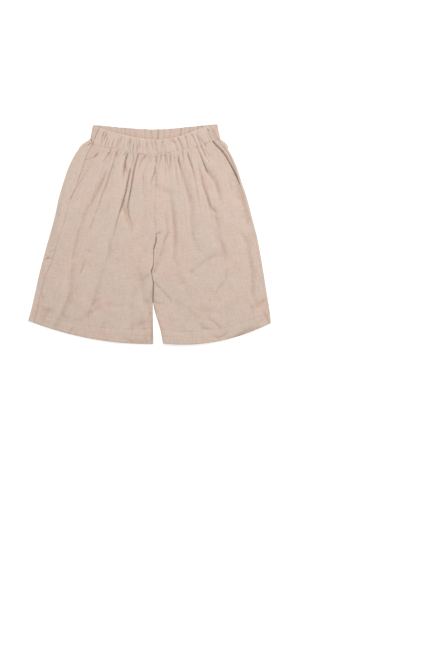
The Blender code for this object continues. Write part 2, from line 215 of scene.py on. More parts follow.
# Folds. Each has its reach to the west and to the east, then the points of its
# line: x, y, depth. A negative depth is a ridge. The reaches are for a line that
# runs down from the waist. Where it runs eastwards, the second is the reach
# towards the waist, and where it runs westwards, towards the hem.
RIGHT_FOLDS = {
    "hip crease": (2.4, 2.4, (-181, 245, 1.5), (-171, 249.5, 2.8), (-163, 253.5, 2.6),
        (-156, 256, 1)),
    "pocket gap": (1.8, 2.2, (-144, 226.5, 1.6), (-151, 219.5, 3.2), (-158, 214, 2),
        (-166, 210, 1.5), (-178, 207.5, 1.1)),
    "pocket lip": (1.5, 1.5, (-161, 204, 0.6), (-170, 202, 1), (-179, 200, 0.5)),
    "hip tuck": (1.8, 2.6, (-111, 231, 1), (-114, 227, 3.2), (-118, 221, 2.6), (-124, 212, 2),
        (-131, 201, 1)),
    "outer pleat": (2, 3.4, (-89, 233, 2), (-93, 227, 3.4), (-98, 215, 2.9), (-103, 200, 2.5),
        (-107, 184, 2.3), (-113, 166, 2.6), (-120, 144, 2.6), (-128, 125, 2.3), (-134, 110, 2.2),
        (-139, 92, 2.1), (-144, 74, 1.6), (-152, 58, 1.2), (-160, 37, 1.2), (-166, 18, 1),
        (-170, 3, 0.4)),
    "pleat twin": (1.5, 1.8, (-91, 222, 1.5), (-96, 208, 1.5), (-101, 195, 1.2), (-106, 184, 0.4)),
    "second pleat": (1.8, 2, (-63, 222, 2.5), (-65, 216, 4.2), (-67, 208, 4.8), (-69, 200, 4.8),
        (-70, 192, 4.2), (-71, 186, 2)),
    "second shadow": (5, 4, (-69, 198, 2), (-70.5, 188, 5), (-72, 176, 5), (-74, 163, 2.8),
        (-77, 147, 1)),
    "second branch": (2, 2, (-67, 189, 1.4), (-65.5, 180, 2), (-64.5, 170, 1.6), (-67, 158, 0.5)),
    "second twin": (1.2, 1.6, (-66, 228, 2), (-69, 224, 2), (-73, 220, 1.4)),
    "long pleat": (1.8, 2.8, (-55, 183, 1.5), (-56, 177, 4.4), (-58, 166, 5), (-60, 155, 5),
        (-62.5, 143, 5), (-64.5, 131, 5.2), (-68, 115, 5.2), (-73, 98, 4.8), (-77, 82, 4.4),
        (-82, 68, 3.9), (-87, 52, 3), (-92, 36, 2.2), (-96, 20, 1.6), (-99.5, 5, 1),
        (-103, -10, 0.4)),
    "between pleats": (8, 7, (-73, 102, 0.4), (-72, 86, 2.6), (-69, 66, 3.8), (-65, 48, 2.9),
        (-60, 28, 2), (-54, 8, 1.5), (-50, -5, 0.6)),
    "inner pleat": (2.8, 2, (-32, 222, 2), (-35, 213, 3.6), (-37.5, 204, 4.2), (-40, 194, 4.8),
        (-43, 183, 5), (-45.5, 171, 5), (-47, 160, 5), (-49, 148, 5), (-51.5, 132, 5),
        (-54, 116, 5), (-57.5, 99, 4.6), (-60, 86, 4.2), (-61, 76, 3.8), (-59.5, 62, 3),
        (-57, 48, 2.4), (-53, 36, 1.8), (-50, 22, 1.2), (-49, 8, 0.5)),
    "front tuck": (3, 2, (-11, 221, 3), (-15, 214, 2.2), (-23, 205, 2), (-29, 192, 1.8),
        (-33, 178, 1.4), (-37, 162, 0.5)),
    "front line": (1.6, 1.8, (-46, 226, 1.2), (-46, 214, 1.6), (-48, 202, 1.8), (-50, 192, 1.8),
        (-53, 182, 1.4)),
    "front thread": (1.5, 1.5, (-54, 208, 0.6), (-56, 193, 1), (-58, 182, 0.6)),
    "front crease": (3.4, 3, (-6, 196, 0.6), (-12, 182, 1), (-17, 168, 1.2), (-18, 150, 1.2),
        (-19, 130, 0.9), (-20, 110, 0.4)),
    "hip ridge": (12, 36, (-222, 140, -0.8), (-238, 100, -1.4), (-250, 60, -1.7), (-262, 20, -1.7),
        (-271, -20, -1.2), (-280, -60, -0.5)),
    "thigh fall": (30, 8, (-126, 168, 0.4), (-144, 128, 1), (-161, 92, 1.1), (-181, 56, 0.8),
        (-197, 15, 0.7), (-207, -20, 0.6), (-213, -62, 0.4)),
    "thigh trough": (9, 6, (-123, 178, 1), (-127, 162, 2.8), (-134, 146, 3.7), (-141, 131, 3.7),
        (-149, 115, 2.8), (-158, 99, 1.6), (-168, 80, 0.7)),
    "thigh furrow": (7, 8, (-163, 92, 0.5), (-171, 78, 1), (-179, 60, 1.2), (-187, 40, 1.3),
        (-194, 18, 1.4), (-201, -3, 1.4), (-207, -25, 1.2), (-211, -45, 1), (-213, -62, 0.7)),
    "shin trough": (6, 14, (-213, -62, 0.6), (-214, -85, 1), (-216, -110, 1.1), (-218, -135, 1.3),
        (-221, -158, 1.6), (-226, -176, 2), (-233, -194, 2), (-240, -211, 1.9), (-246, -228, 1.6),
        (-256, -244, 1.8), (-266, -254, 2.2), (-273, -259, 1.2)),
    "shin ridge": (9, 8, (-232, -100, -0.6), (-240, -135, -1.4), (-246, -165, -2), (-252, -192, -2),
        (-262, -222, -2), (-275, -250, -1.6)),
    "second ridge": (10, 10, (-172, -110, -0.5), (-177, -140, -1.2), (-184, -170, -1.4),
        (-193, -200, -1.4), (-203, -230, -0.8)),
    "third ridge": (8, 8, (-122, -205, -0.4), (-133, -225, -0.7), (-147, -243, -0.6)),
    "hem trough": (5, 6, (-118, -236, 0.3), (-127, -247, 0.5), (-134, -258, 0.5),
        (-136, -272, 0.5)),
    "hem cross": (3, 3, (-212, -258, 0.5), (-218, -266, 1.2), (-224, -276, 0.8)),
    "knee trough": (8, 12, (-99, 10, 0.3), (-103, -5, 0.9), (-109, -22, 1.4), (-112, -42, 1.9),
        (-117, -62, 1.8), (-124, -82, 1.4), (-131, -102, 1.2), (-138, -120, 1.1), (-143, -140, 1.1),
        (-148, -160, 1.3), (-153, -178, 1.6), (-158, -194, 1.8), (-165, -210, 1.2),
        (-172, -226, 0.5)),
    "knee nick": (3, 3, (-184, -74, 0.5), (-187, -90, 1.3), (-191, -102, 1.2), (-193, -112, 0.6)),
    "knee cross": (2, 2, (-181, -40, 0.3), (-172, -45, 0.6), (-163, -50, 0.3)),
    "knee dark": (4, 5, (-146, -182, 0.5), (-154, -190, 0.9), (-164, -199, 0.6)),
    "knee patch": (8, 8, (-148, -204, 0.5), (-160, -216, 1.2), (-174, -223, 0.9)),
    "inner hollow": (11, 11, (-34, -85, 0.5), (-30, -102, 1.1), (-24, -120, 1.2), (-17, -136, 0.8)),
    "inner dip": (4, 4, (-16, -124, 0.6), (-8, -117, 1.2), (0, -112, 0.8)),
    "inner spot": (5, 5, (-11, -186, 0.5), (-2, -188, 0.8)),
    "inner hem": (8, 8, (-42, -256, 0.8), (-26, -249, 1.8), (-10, -241, 1)),
    "inner foot": (4, 4, (-72, -290, 0.8), (-55, -296, 1.4), (-30, -299, 1), (-5, -299, 0.6)),
    "inner fall": (4, 4, (2, -205, 0.4), (3, -240, 0.7), (4, -268, 0.7), (4, -299, 0.6)),
    "inner valley": (14, 24, (-38, -100, 0.3), (-42, -140, 1), (-46, -190, 1.5), (-46, -240, 1.5),
        (-42, -285, 1.2)),
    "side nick": (2, 2.4, (-280, -67, 1.2), (-286, -66, 2.6), (-291, -70, 3.2), (-297, -77, 2.4)),
    "side swell": (5, 5, (-285, -77, -1.2), (-292, -86, -1.7), (-297, -102, -0.9)),
    "side dent": (3.5, 3.5, (-283, -53, 0.8), (-275, -48, 1.1), (-267, -44, 0.5)),
    "seam fold": (2.4, 3, (-300, -160, 0.4), (-298, -176, 1.1), (-297, -194, 0.4)),
    "side hollow": (4, 4, (-301, -204, 0.8), (-292, -212, 1.4), (-281, -210, 0.8)),
    "corner fold": (4, 5, (-288, -222, 1), (-297, -232, 2), (-304, -244, 2.2), (-310, -251, 1.4)),
    "hem hollow": (12, 12, (-55, -198, 0.6), (-85, -197, 1.1), (-115, -199, 1.2), (-142, -207, 1),
        (-156, -216, 0.6)),
    "hem shade": (14, 10, (-165, -234, 0.7), (-195, -237, 1.3), (-225, -234, 1.2),
        (-242, -228, 0.6)),
    "side shade": (12, 12, (-306, -150, 0.5), (-312, -185, 0.8), (-316, -222, 1)),
    "corner hollow": (8, 8, (-284, -214, 1.2), (-300, -219, 2.4), (-309, -226, 3.4),
        (-311, -240, 3)),
    "outer rise": (10, 40, (-214, 172, -0.8), (-236, 110, -1.6), (-249, 55, -1.8), (-252, 0, -1.4),
        (-254, -40, -0.5)),
    "inner shade": (10, 10, (-22, -126, 0.8), (-19, -155, 1.4), (-14, -190, 1.3)),
    "inner corner": (9, 8, (-17, -258, 1), (-11, -286, 1.5)),
    "front wide": (20, 24, (-24, 214, 1), (8, 208, 1.8), (34, 202, 2)),
}
LEFT_FOLDS = {
    "centre line": (3, 3, (19, 180, 1.2), (20, 165, 2), (19.5, 150, 2), (20, 135, 1.2)),
    "centre tuck": (1.8, 1.8, (31, 224, 1.8), (31, 212, 1.8), (28, 200, 1.2), (25, 190, 0.6)),
    "front tuck": (2.2, 2.2, (59, 224, 1), (58, 212, 1.3), (58, 199, 1.2), (55, 185, 0.6)),
    "front crease": (2.2, 2.2, (46, 217, 0.6), (48, 203, 0.8), (51, 190, 0.5)),
    "front shade": (9, 9, (44, 206, 1), (46, 186, 1.8), (47, 160, 1.2), (46, 132, 0.8)),
    "soft crease": (3, 3.4, (68, 214, 0.9), (71, 200, 1.3), (73, 186, 1.5), (75, 171, 1.4),
        (77, 156, 1.1), (80, 141, 0.6), (84, 126, 0.3)),
    "inner pleat": (1.8, 2.4, (79, 222, 1), (80, 214, 2.8), (80.5, 206, 3.5), (82, 198, 3.5),
        (84, 191, 2.6), (87, 183, 1.4), (91, 173, 0.5)),
    "inner trough": (9, 9, (86, 198, 1), (89, 182, 2.6), (92.5, 166, 3.7), (97, 151, 4),
        (102, 136, 3.8), (106, 122, 3.6), (110, 108, 3.4), (114, 92, 2.9), (117, 76, 2.3),
        (118, 58, 1.9), (119, 40, 1.7), (120, 18, 1.6), (122, -3, 1.8), (126, -20, 1.6),
        (132, -35, 1.1), (142, -48, 0.8), (150, -54, 0.4)),
    "second pleat": (1.8, 2.6, (106, 228, 1.6), (108, 218, 3.6), (111, 209, 3.8), (114, 199, 3.4),
        (118, 188, 3), (121, 177, 2), (124, 165, 1.5), (127, 153, 1.3), (129, 139, 1.1),
        (132, 121, 1), (135, 104, 0.9), (138, 88, 0.6), (141, 70, 0.3)),
    "inner side": (2.4, 2.4, (91, 238, 1.2), (93, 224, 2), (94, 209, 1.8), (95, 196, 0.6)),
    "outer pleat": (1.6, 2.4, (133, 241, 1.8), (138, 231, 2.2), (142, 221, 2.8), (146, 210, 3.6),
        (150, 200, 3.8), (154, 190, 3.6), (158, 180, 3.3), (161, 173, 1.8)),
    "outer hollow": (6, 11, (157, 184, 1.6), (165, 173, 3.8), (173, 161, 4.2), (181, 148, 3.7),
        (187, 136, 3.6), (191, 124, 3), (194, 110, 1.8), (198, 95, 0.7)),
    "side pleat": (1.6, 2.2, (144, 245, 2.2), (148, 237, 2.4), (152, 228, 2.2), (157, 217, 1.9),
        (163, 206, 1.2), (169, 195, 0.7), (174, 184, 0.3)),
    "side line": (1.8, 2, (156, 236, 1), (161, 227, 1.4), (167, 218, 0.6)),
    "long pleat": (4, 5, (136, 194, 1), (140, 179, 2.2), (144, 165, 3), (147, 150, 3.2),
        (150, 137, 3.2), (154, 124, 3.2), (158, 112, 3.2), (162, 101, 3.2), (166, 89, 3.2),
        (171, 77, 2.8), (178, 68, 2), (187, 63, 1.2), (195, 60, 0.6)),
    "thigh trough": (12, 8, (178, 64, 1.2), (184, 48, 2), (189, 31, 2.1), (193, 14, 2),
        (195, -2, 1.9), (197, -16, 1.9), (202, -28, 2), (207, -40, 2), (211, -54, 1.8),
        (213, -66, 0.9)),
    "thigh branch": (7, 7, (206, -57, 0.6), (190, -59, 1), (174, -64, 1.2), (157, -72, 1.1),
        (142, -87, 1), (124, -99, 0.9), (106, -106, 0.4)),
    "thigh ridge": (7, 7, (168, 5, -0.5), (174, -15, -1.2), (180, -35, -1)),
    "crotch pleat": (8, 9, (50, 128, 0.5), (55, 108, 1), (60, 92, 1.6), (63.5, 78, 2),
        (66.5, 60, 2.6), (68.5, 42, 2.9), (70.5, 20, 2.9), (71.5, 0, 2.9), (71.5, -20, 2.7),
        (71, -42, 2.3), (70, -60, 1.8), (72, -75, 1.3), (77, -88, 0.9), (86, -97, 0.5)),
    "crotch tuck": (4, 5, (48, 84, 0.5), (48, 65, 1), (47, 45, 1.4), (48, 28, 1.4), (50, 13, 1.6),
        (51, 2, 1.7), (46, -8, 1.7), (40, -20, 1.6), (37, -33, 1.2), (34, -50, 0.8),
        (32, -65, 0.4)),
    "crotch hook": (2.4, 2.4, (34, 5, 0.4), (29, 4, 1.4), (24, 2, 2), (20, -4, 2.2),
        (19, -11, 2.2)),
    "front hollow": (10, 10, (14, 128, 0.8), (32, 124, 1.5), (52, 118, 1.6), (68, 114, 0.8)),
    "knee spot": (8, 8, (119, -107, 0.8), (129, -113, 0.8)),
    "pocket fall": (18, 14, (227, 165, 0.8), (240, 135, 1.6), (252, 108, 2.3), (262, 82, 2.6),
        (271, 52, 2.5), (278, 25, 1.6), (283, 5, 0.6)),
    "press line": (1.6, 1.6, (231, -1, -0.3), (245, 6, -0.6), (258, 12, -0.6), (270, 16, -0.6),
        (284, 22, -0.4)),
    "side trough": (9, 10, (256, 0, 0.8), (268, -12, 1.6), (274, -28, 2), (278, -46, 2.1),
        (281, -64, 2.2), (285, -86, 2.3), (288, -110, 2.2), (288, -138, 1.8), (292, -165, 1.6),
        (298, -195, 1.2)),
    "side ridge": (6, 6, (306, -90, -0.4), (311, -120, -0.6), (315, -150, -0.5)),
    "shin soft": (7, 7, (216, -90, 0.6), (215, -112, 1.2), (210, -132, 1), (198, -146, 1.2),
        (188, -163, 0.8)),
    "inseam crease": (2, 3.4, (8, -125, 1.6), (18, -139, 1.5), (28, -150, 1.2), (38, -161, 1),
        (48, -172, 0.8), (58, -182, 0.5)),
    "inseam soft": (26, 10, (60, -186, 0.4), (88, -196, 0.9), (103, -205, 1), (116, -216, 1.1),
        (126, -227, 1), (138, -238, 0.5)),
    "inseam nick": (2.2, 2.6, (11, -184, 1.6), (19, -190, 1.6), (29, -194, 1), (38, -193, 0.4)),
    "inseam pucker": (3, 3, (16, -209, 1), (24, -218, 1)),
    "hem nick": (3, 3, (143, -251, 0.5), (150, -258, 0.8), (157, -263, 0.8)),
    "hem dash": (2.4, 2.4, (146, -263, 0.8), (160, -264, 0.9), (176, -263, 0.5)),
    "hem crease": (3.5, 3.5, (164, -234, 0.6), (176, -243, 1), (186, -251, 1.4), (196, -258, 1.2)),
    "hem bottom": (3, 3, (180, -286, 1.1), (193, -288, 1.7), (206, -284, 1.5), (217, -275, 0.9)),
    "hem edge": (4, 4, (218, -293, 1.4), (235, -288, 2.8), (252, -279, 3.2), (268, -270, 3.2),
        (285, -264, 2.6), (302, -258, 1.2)),
    "corner crease": (7, 6, (300, -202, 0.8), (308, -194, 1.2), (317, -187, 1.2), (326, -181, 0.8)),
    "corner seam": (2.2, 2.6, (318, -219, 1), (324, -230, 1.8), (330, -242, 1.8), (334, -251, 1.4)),
    "corner soft": (7, 7, (281, -190, 0.8), (286, -206, 1.2), (292, -232, 0.6)),
    "knee hollow": (14, 14, (120, -206, 0.5), (150, -212, 1.1), (182, -214, 1.2), (202, -220, 0.4)),
    "inseam hollow": (10, 10, (40, -168, 0.4), (54, -180, 1), (60, -192, 0.8)),
    "inner rise": (20, 20, (20, -244, -0.8), (45, -272, -1.6), (85, -296, -1.4)),
    "front wide": (20, 24, (-24, 214, 1), (8, 208, 1.8), (34, 202, 2), (54, 186, 1.7),
        (60, 158, 0.8)),
    "side rise": (6, 28, (206, 84, -0.6), (208, 50, -1.4), (211, 20, -1.4), (217, -5, -0.6)),
    "facing line": (1.6, 1.6, (206, 244, 0.8), (212, 238, 2), (219, 228, 2.4), (225, 216, 2.4),
        (230, 203, 1.8), (236, 190, 1)),
    "calf hollow": (20, 8, (72, -100, 0.4), (80, -114, 1), (92, -132, 1.4), (102, -150, 0.8)),
    "inner cloud": (8, 8, (32, -52, 0.8), (24, -78, 1.5), (13, -102, 1.8)),
}
BAND_FOLDS = {
    "west seam": (1.4, 1.6, (-125, 290, 1), (-129, 281, 4), (-132, 272, 4.4), (-134, 264, 2.6),
        (-135, 255, 1)),
    "west twin": (1.2, 1.4, (-119, 287, 1), (-122, 280, 2.4), (-125, 272, 3), (-127, 264, 1.6)),
    "west foot": (1.8, 1.8, (-131, 262, 1), (-136, 252, 1.6), (-140, 244, 1.4)),
    "first": (1.8, 2.2, (-99, 268, 1), (-103, 256, 2), (-106, 245, 2.4), (-110, 234, 3)),
    "second": (1.4, 1.8, (-83, 277, 1), (-87, 266, 1.6), (-90, 256, 1.8), (-94, 245, 1.6)),
    "third": (1.4, 1.6, (-80, 270, 0.4), (-84, 258, 1.1), (-87, 246, 1.4), (-88, 236, 1.6)),
    "fourth": (1.5, 1.8, (-52, 268, 1.2), (-55, 259, 3.6), (-57, 250, 3.6), (-59, 240, 2.2),
        (-63, 226, 2)),
    "fifth": (1.6, 1.8, (-45, 252, 1), (-46, 240, 2.4), (-46, 226, 2.4)),
    "sixth": (1.8, 2.4, (-34, 254, 1), (-34.5, 243, 3.6), (-36, 231, 2.8), (-33, 222, 2.4)),
    "seventh": (1.4, 1.4, (-29, 265, 0.4), (-28, 251, 0.3), (-26, 238, 0.3)),
    "eighth": (1.6, 1.8, (-8, 260, 0.3), (-8, 246, 1), (-6, 226, 1.2)),
    "ninth": (1.8, 2.2, (13, 266, 1.4), (15, 256, 2.4), (17, 247, 2.6), (19, 238, 2.2),
        (20, 228, 1.6)),
    "tenth": (1.6, 2, (34, 263, 1.2), (35, 248, 1.8), (33, 232, 1.4), (31, 224, 2)),
    "eleventh": (1.6, 1.8, (72, 258, 0.6), (74, 248, 1.6), (76, 240, 2), (78, 231, 1.4)),
    "short tuck": (1.8, 1.8, (61, 262, 0.6), (66, 259, 1.8), (70, 257, 2)),
    "twelfth": (1.6, 2, (80, 268, 1.4), (84, 259, 3.2), (90, 244, 3), (94, 234, 1.4)),
    "thirteenth": (1.8, 2.4, (102, 273, 1.6), (104, 262, 2), (105, 250, 2.4), (107, 238, 2.2)),
    "fourteenth": (1.6, 2, (110, 263, 1.2), (114, 252, 1.8), (118, 240, 1.2)),
    "fifteenth": (1.6, 2, (120, 277, 1), (125, 264, 1.6), (130, 251, 2), (133, 243, 2.6)),
    "sixteenth": (1.6, 2, (132, 280, 1.4), (136, 269, 3), (140, 258, 2.6), (145, 246, 2.6)),
    "east pair": (1.6, 1.8, (141, 269, 1.4), (147, 260, 2), (153, 254, 2.2), (157, 247, 2.8)),
    "east slant": (1.6, 1.8, (161, 297, 0.5), (165, 285, 1.4), (170, 272, 2.2), (174, 262, 1.4)),
    "end fold": (1.6, 1.8, (172, 291, 0.8), (177, 280, 2.3), (182, 269, 2.8), (188, 259, 2.4)),
    "corner fold": (1.4, 1.4, (184, 305, 1.5), (187, 297, 1.8), (189, 289, 1)),
    "centre crease": (2.4, 2.4, (22, 232, 1), (21, 220, 1.4), (20, 210, 2.4), (19, 203, 3),
        (17, 193, 3.2), (15, 182, 3), (12, 170, 2.4), (9, 159, 2), (5, 149, 1.5), (2, 139, 0.6)),
    "first crest": (3.4, 3.4, (-111, 279, -0.8), (-115, 257, -0.8)),
    "second crest": (4.2, 4.2, (-71, 274, -0.9), (-74, 251, -0.9)),
    "third crest": (4.5, 4.5, (-24, 262, -1.6), (-25, 244, -1.4), (-25, 231, -0.6)),
    "fourth crest": (4, 4, (51, 262, -0.9), (52, 234, -0.7)),
    "west line": (1.4, 1.6, (-139, 296, 0.8), (-145, 288, 1.8), (-150, 278, 1.6), (-154, 269, 0.8)),
    "ninth shade": (5, 4, (2, 264, 1.2), (7, 250, 1.8), (11, 238, 2.2), (13, 228, 1.8)),
    "front ridge": (7, 14, (20, 98, -0.6), (22, 65, -1.4), (22, 30, -0.8)),
}
# Gathers on the inside of the back casing: where, how deep and how wide.
INSIDE_GATHERS = ((-112, 0.9, 2.5), (-93, 0.8, 2.6), (-80, 0.6, 2), (-69, 1, 2.6),
                  (-57, 1.2, 3), (-43, 0.5, 2.2), (-33, -1.2, 6), (-15, 0.8, 2.4),
                  (3, 1.4, 3.4), (24, 3, 2.2), (40, 1.1, 2.4), (57, 1.3, 2.6),
                  (70, 1, 2.2), (88, 2.3, 2), (98, 1.2, 2.2), (112, 1.7, 2.8),
                  (122, 1.2, 2), (134, 1.4, 2.2), (146, 1.6, 2.4))

# The line where the legs meet: y, how far it wanders to the east there, how far
# each leg moves up to it, and how much painted shade lies on the cloth beside it.
LEGS_MEET = ((60, 0, 0, 0), (40, 0, 0.15, 0), (20, 0.5, 0.45, 0), (5, 1, 0.7, 0.1),
             (-6, 2, 0.7, 0.2), (-15, 3, 0.7, 0.3), (-25, 3, 0.7, 0.3), (-36, 0.5, 0.8, 0.2),
             (-47, -0.8, 1.5, 0), (-60, 0.5, 1.7, 0), (-81, 0.3, 1.6, 0), (-92, -0.5, 0.9, 0.2),
             (-103, -5, 0.8, 0.5), (-114, -3.5, 1.4, 0), (-126, -1, 1.3, 0.1),
             (-137, 1.5, 0.7, 0.5), (-150, 1, 0.8, 0.8), (-165, 0.6, 1, 2), (-178, 0, 1.3, 1.8),
             (-186, 0, 1.5, 0.6), (-192, 0, 1, 0.4), (-202, 0, 0.6, 0.5), (-215, 0, 0.6, 0.6),
             (-310, 0, 0.6, 1.6))

# Hem depth at the outer and the inner end of each leg, and how high the front
# lies along its hem: at the outer end, in the middle and at the inner end.
HEMS = {"right": (25, 43), "left": (30, 38)}
HEM_LEVELS = {"right": (4.8, 6.2, 6.2), "left": (4.2, 7.0, 10.0)}

# How the legs differ. hip: how far the side swells under the waist. lift: how
# far the front stands up along the pocket's mouth. gap: width of the dark gap
# beside it, drop: how much deeper the facing sinks there, and shut: how far below the
# waist it opens. seam: strength of the side seam, and roll: what it gains beside
# the pocket. mouth, edge: strength of the painted shade under the mouth and between the legs.
LEG_VALUES = {
    "right": {"hip": 5, "lift": 0.35, "gap": 3, "drop": -0.3, "shut": 26, "seam": 1, "roll": 0.6,
              "mouth": 0.2, "edge": 1.6},
    "left": {"hip": 7, "lift": 2.0, "gap": 8, "drop": 4.0, "shut": 2, "seam": 0.15, "roll": 0.8,
             "mouth": 1.6, "edge": 1},
}

# Each kind of random relief adds its own small number to its piece's seed.
SEEDS = {"right": 11, "left": 23, "band": 37}

CLOTH_COLOR = (0.661, 0.517, 0.436)
# Painted shade in the folds, darkest in the deepest, and a painted highlight on the crests, mixed in
# by the tone attribute. The seams' dark uses them too.
HOLLOW_SHADE_COLOR = (0.520, 0.375, 0.295)
DEEP_SHADE_COLOR = (0.330, 0.225, 0.165)
CREST_HIGHLIGHT_COLOR = (0.665, 0.530, 0.450)
PINKER = (1.02, 0.99, 0.975)
GREYER = (0.985, 1.008, 1.01)
# A darker copy of the cloth's colour for the casing's inside and the pocket facings, which lie in
# shade: painted shade.
SHADED_INSIDE_COLOR = (0.640, 0.498, 0.420)
THREAD_COLOR = (0.700, 0.570, 0.480)
THREADS_PER_METRE = 1150
THREAD_STRAY = 2.2      # radians by which the threads' rows stray

# How fine the cloth's random patterns are: humps to the metre.
ACROSS_SLUBS = 900.0
ALONG_SLUBS = 28.0
STRAYING = 160.0
MOTTLE = 210.0
CLOUDS = 28.0
BLUSH = 11.0
SPINNING = 1400.0

# The soft box: degrees from +X towards +Y, degrees up, then metres and watts.
KEY_LIGHT = {"azimuth": 60, "elevation": 60, "distance": 2.6, "size": 1.4, "power": 38.0}
LIGHT_COLOR = (0.98, 0.99, 1.0)
SKY_COLOR = (1.0, 0.99, 0.98, 1.0)
SKY_STRENGTH = 0.55
FLOOR_SIZE = 30.0       # metres
FLOOR_GLOW = 0.6
SENSOR_WIDTH = 36.0
LENS = 119.6
CAMERA_PLACE = (183.0, -247.0, 6000.0)  # from the garment's middle


# ---------------------------------------------------------------- curves

def smooth(values, places):
    """The smooth curve through evenly spaced values, at places counted in them."""
    values = np.asarray(values, float)
    ends = np.concatenate(([2 * values[0] - values[1]], values, [2 * values[-1] - values[-2]]))
    index = np.clip(places.astype(int), 0, len(values) - 2)
    share = places - index
    before, first, second, after = (ends[index + step] for step in range(4))
    slope_in = (second - before) / 2
    slope_out = (after - first) / 2
    cubic = 2 * first - 2 * second + slope_in + slope_out
    square = 3 * second - 3 * first - 2 * slope_in - slope_out
    return ((cubic * share + square) * share + slope_in) * share + first


def smooth_line(points, step):
    """Points about a step apart on the smooth line through some points."""
    points = np.asarray(points, float)
    length = np.hypot(*np.diff(points[:, :2], axis=0).T).sum()
    places = np.linspace(0, len(points) - 1, max(int(length / step), 4))
    return np.stack([smooth(column, places) for column in points.T], axis=1)


def height_of_line(points, x):
    """The y of a smooth edge line at these x."""
    line = smooth_line(points, 1.0)
    return np.interp(x, line[:, 0], line[:, 1])


def mix(first, second, share):
    return first + (second - first) * share


def step_up(value, start, end):
    """0 below start, 1 above end, smooth between."""
    share = np.clip((value - start) / (end - start), 0, 1)
    return share * share * (3 - 2 * share)


def swell(distance, reach):
    """Rise from 0 at an edge to 1 at this reach from it."""
    return np.sin(np.pi / 2 * np.clip(distance / reach, 0, 1))


def bell(distance, reach):
    return np.exp(-(distance / reach) ** 2)


def crumple(across, along, seed):
    """Smooth random relief from -1 to 1, with one hump to each unit."""
    knots = np.random.default_rng(seed).uniform(-1, 1, (KNOTS, KNOTS))
    i = np.floor(across).astype(int)
    j = np.floor(along).astype(int)
    a = across - i
    b = along - j
    a = a * a * (3 - 2 * a)
    b = b * b * (3 - 2 * b)
    near = mix(knots[i % KNOTS, j % KNOTS], knots[(i + 1) % KNOTS, j % KNOTS], a)
    far = mix(knots[i % KNOTS, (j + 1) % KNOTS], knots[(i + 1) % KNOTS, (j + 1) % KNOTS], a)
    return mix(near, far, b)


def rumples(layers, x, y, seed):
    """Layers of random relief, each with a depth and its humps' width and height."""
    return sum(depth * crumple(x / width, y / height, seed + number)
               for number, (depth, width, height) in enumerate(layers))


def gathers(line, down):
    """Depth of the unnamed gathers: narrow uneven valleys between broad crests.

    line is the x where a line of the fan crosses the waist seam, and down is
    the distance below that seam, or above it where it is negative.
    """
    seed = SEEDS["band"]
    coarse = bell(crumple(line / 7.2, down / 65, seed), 0.2)
    coarse = coarse * (0.55 + 0.45 * crumple(line / 13, down / 45, seed + 1))
    fine = bell(crumple(line / 3.9, down / 34, seed + 2), 0.3)
    uneven = 0.6 + 0.4 * crumple(line / 9, down / 20, seed + 3)
    return GATHER_DEPTH * (coarse + 0.5 * fine * uneven)


def fold_depth(folds, x, y):
    """How far the folds press the cloth down at each point."""
    total = np.zeros(x.shape)
    for west, east, *points in folds:
        line = smooth_line(points, FOLD_STEP) * (1, 1, FOLD_STRENGTH)
        limit = FOLD_LIMIT * max(west, east)
        near = (x > line[:, 0].min() - limit) & (x < line[:, 0].max() + limit)
        near &= (y > line[:, 1].min() - limit) & (y < line[:, 1].max() + limit)
        if near.any():
            total[near] += one_fold(west, east, line, x[near], y[near])
    return total


def one_fold(west, east, line, x, y):
    """Depth of one fold at some points: a narrow groove with wide flanks."""
    from_x = x[:, None] - line[:, 0]
    from_y = y[:, None] - line[:, 1]
    nearest = np.argmin(from_x ** 2 + from_y ** 2, axis=1)
    every = np.arange(len(x))
    tangent = np.gradient(line[:, :2], axis=0)
    tangent /= np.linalg.norm(tangent, axis=1)[:, None]
    tangent = tangent[nearest]
    from_x = from_x[every, nearest]
    from_y = from_y[every, nearest]
    along = from_x * tangent[:, 0] + from_y * tangent[:, 1]
    beside = tangent[:, 0] * from_y - tangent[:, 1] * from_x
    past_end = (nearest == 0) & (along < 0) | (nearest == len(line) - 1) & (along > 0)
    distance = np.hypot(beside, np.where(past_end, along, 0))
    reach = np.where(beside > 0, east, west)
    groove = np.exp(-(distance / reach) ** GROOVE_POWER)
    from_line = np.hypot(distance, FLANK_ROUND * reach) / reach - FLANK_ROUND
    return line[nearest, 2] * mix(np.exp(-from_line / FLANK_REACH), groove, CORE_SHARE)


# ---------------------------------------------------------------- meshes

class Place:
    """Where the tables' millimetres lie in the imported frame."""

    def __init__(self, low, high):
        self.unit = (high.x - low.x) / GARMENT_WIDTH
        self.origin = np.array(((low.x + high.x) / 2, (low.y + high.y) / 2, low.z))

    def metres(self, points):
        return points * self.unit + self.origin


def side_by_side(*strips):
    """One grid of points from strips that each give their x, y and z."""
    return np.stack([np.hstack(parts) for parts in zip(*strips)], axis=-1)


def unit_vectors(vectors):
    return vectors / np.maximum(np.linalg.norm(vectors, axis=-1, keepdims=True), 1e-9)


def normals_of(grid):
    return unit_vectors(np.cross(np.gradient(grid, axis=1), np.gradient(grid, axis=0)))


def outward(grid):
    """Normals of a panel's outer face, which looks up at its first column."""
    normals = normals_of(grid)
    return normals * np.sign(normals[:, :1, 2:].mean())


def shell_faces(rows, columns):
    """Quads of two grids of points and of the rim between them."""
    index = np.arange(rows * columns).reshape(rows, columns)
    quads = np.stack((index[:-1, :-1], index[:-1, 1:], index[1:, 1:], index[1:, :-1]), axis=-1)
    top = quads.reshape(-1, 4)
    below = top[:, ::-1] + rows * columns
    rim = np.concatenate((index[0], index[1:, -1], index[-1, -2::-1], index[-2:0:-1, 0]))
    after = np.roll(rim, -1)
    band = np.stack((after, rim, rim + rows * columns, after + rows * columns), axis=-1)
    return np.concatenate((top, below, band))


def volume(points, quads):
    a, b, c, d = (points[quads[:, k]] for k in range(4))
    return float((a * np.cross(b, c)).sum() + (a * np.cross(c, d)).sum()) / 6


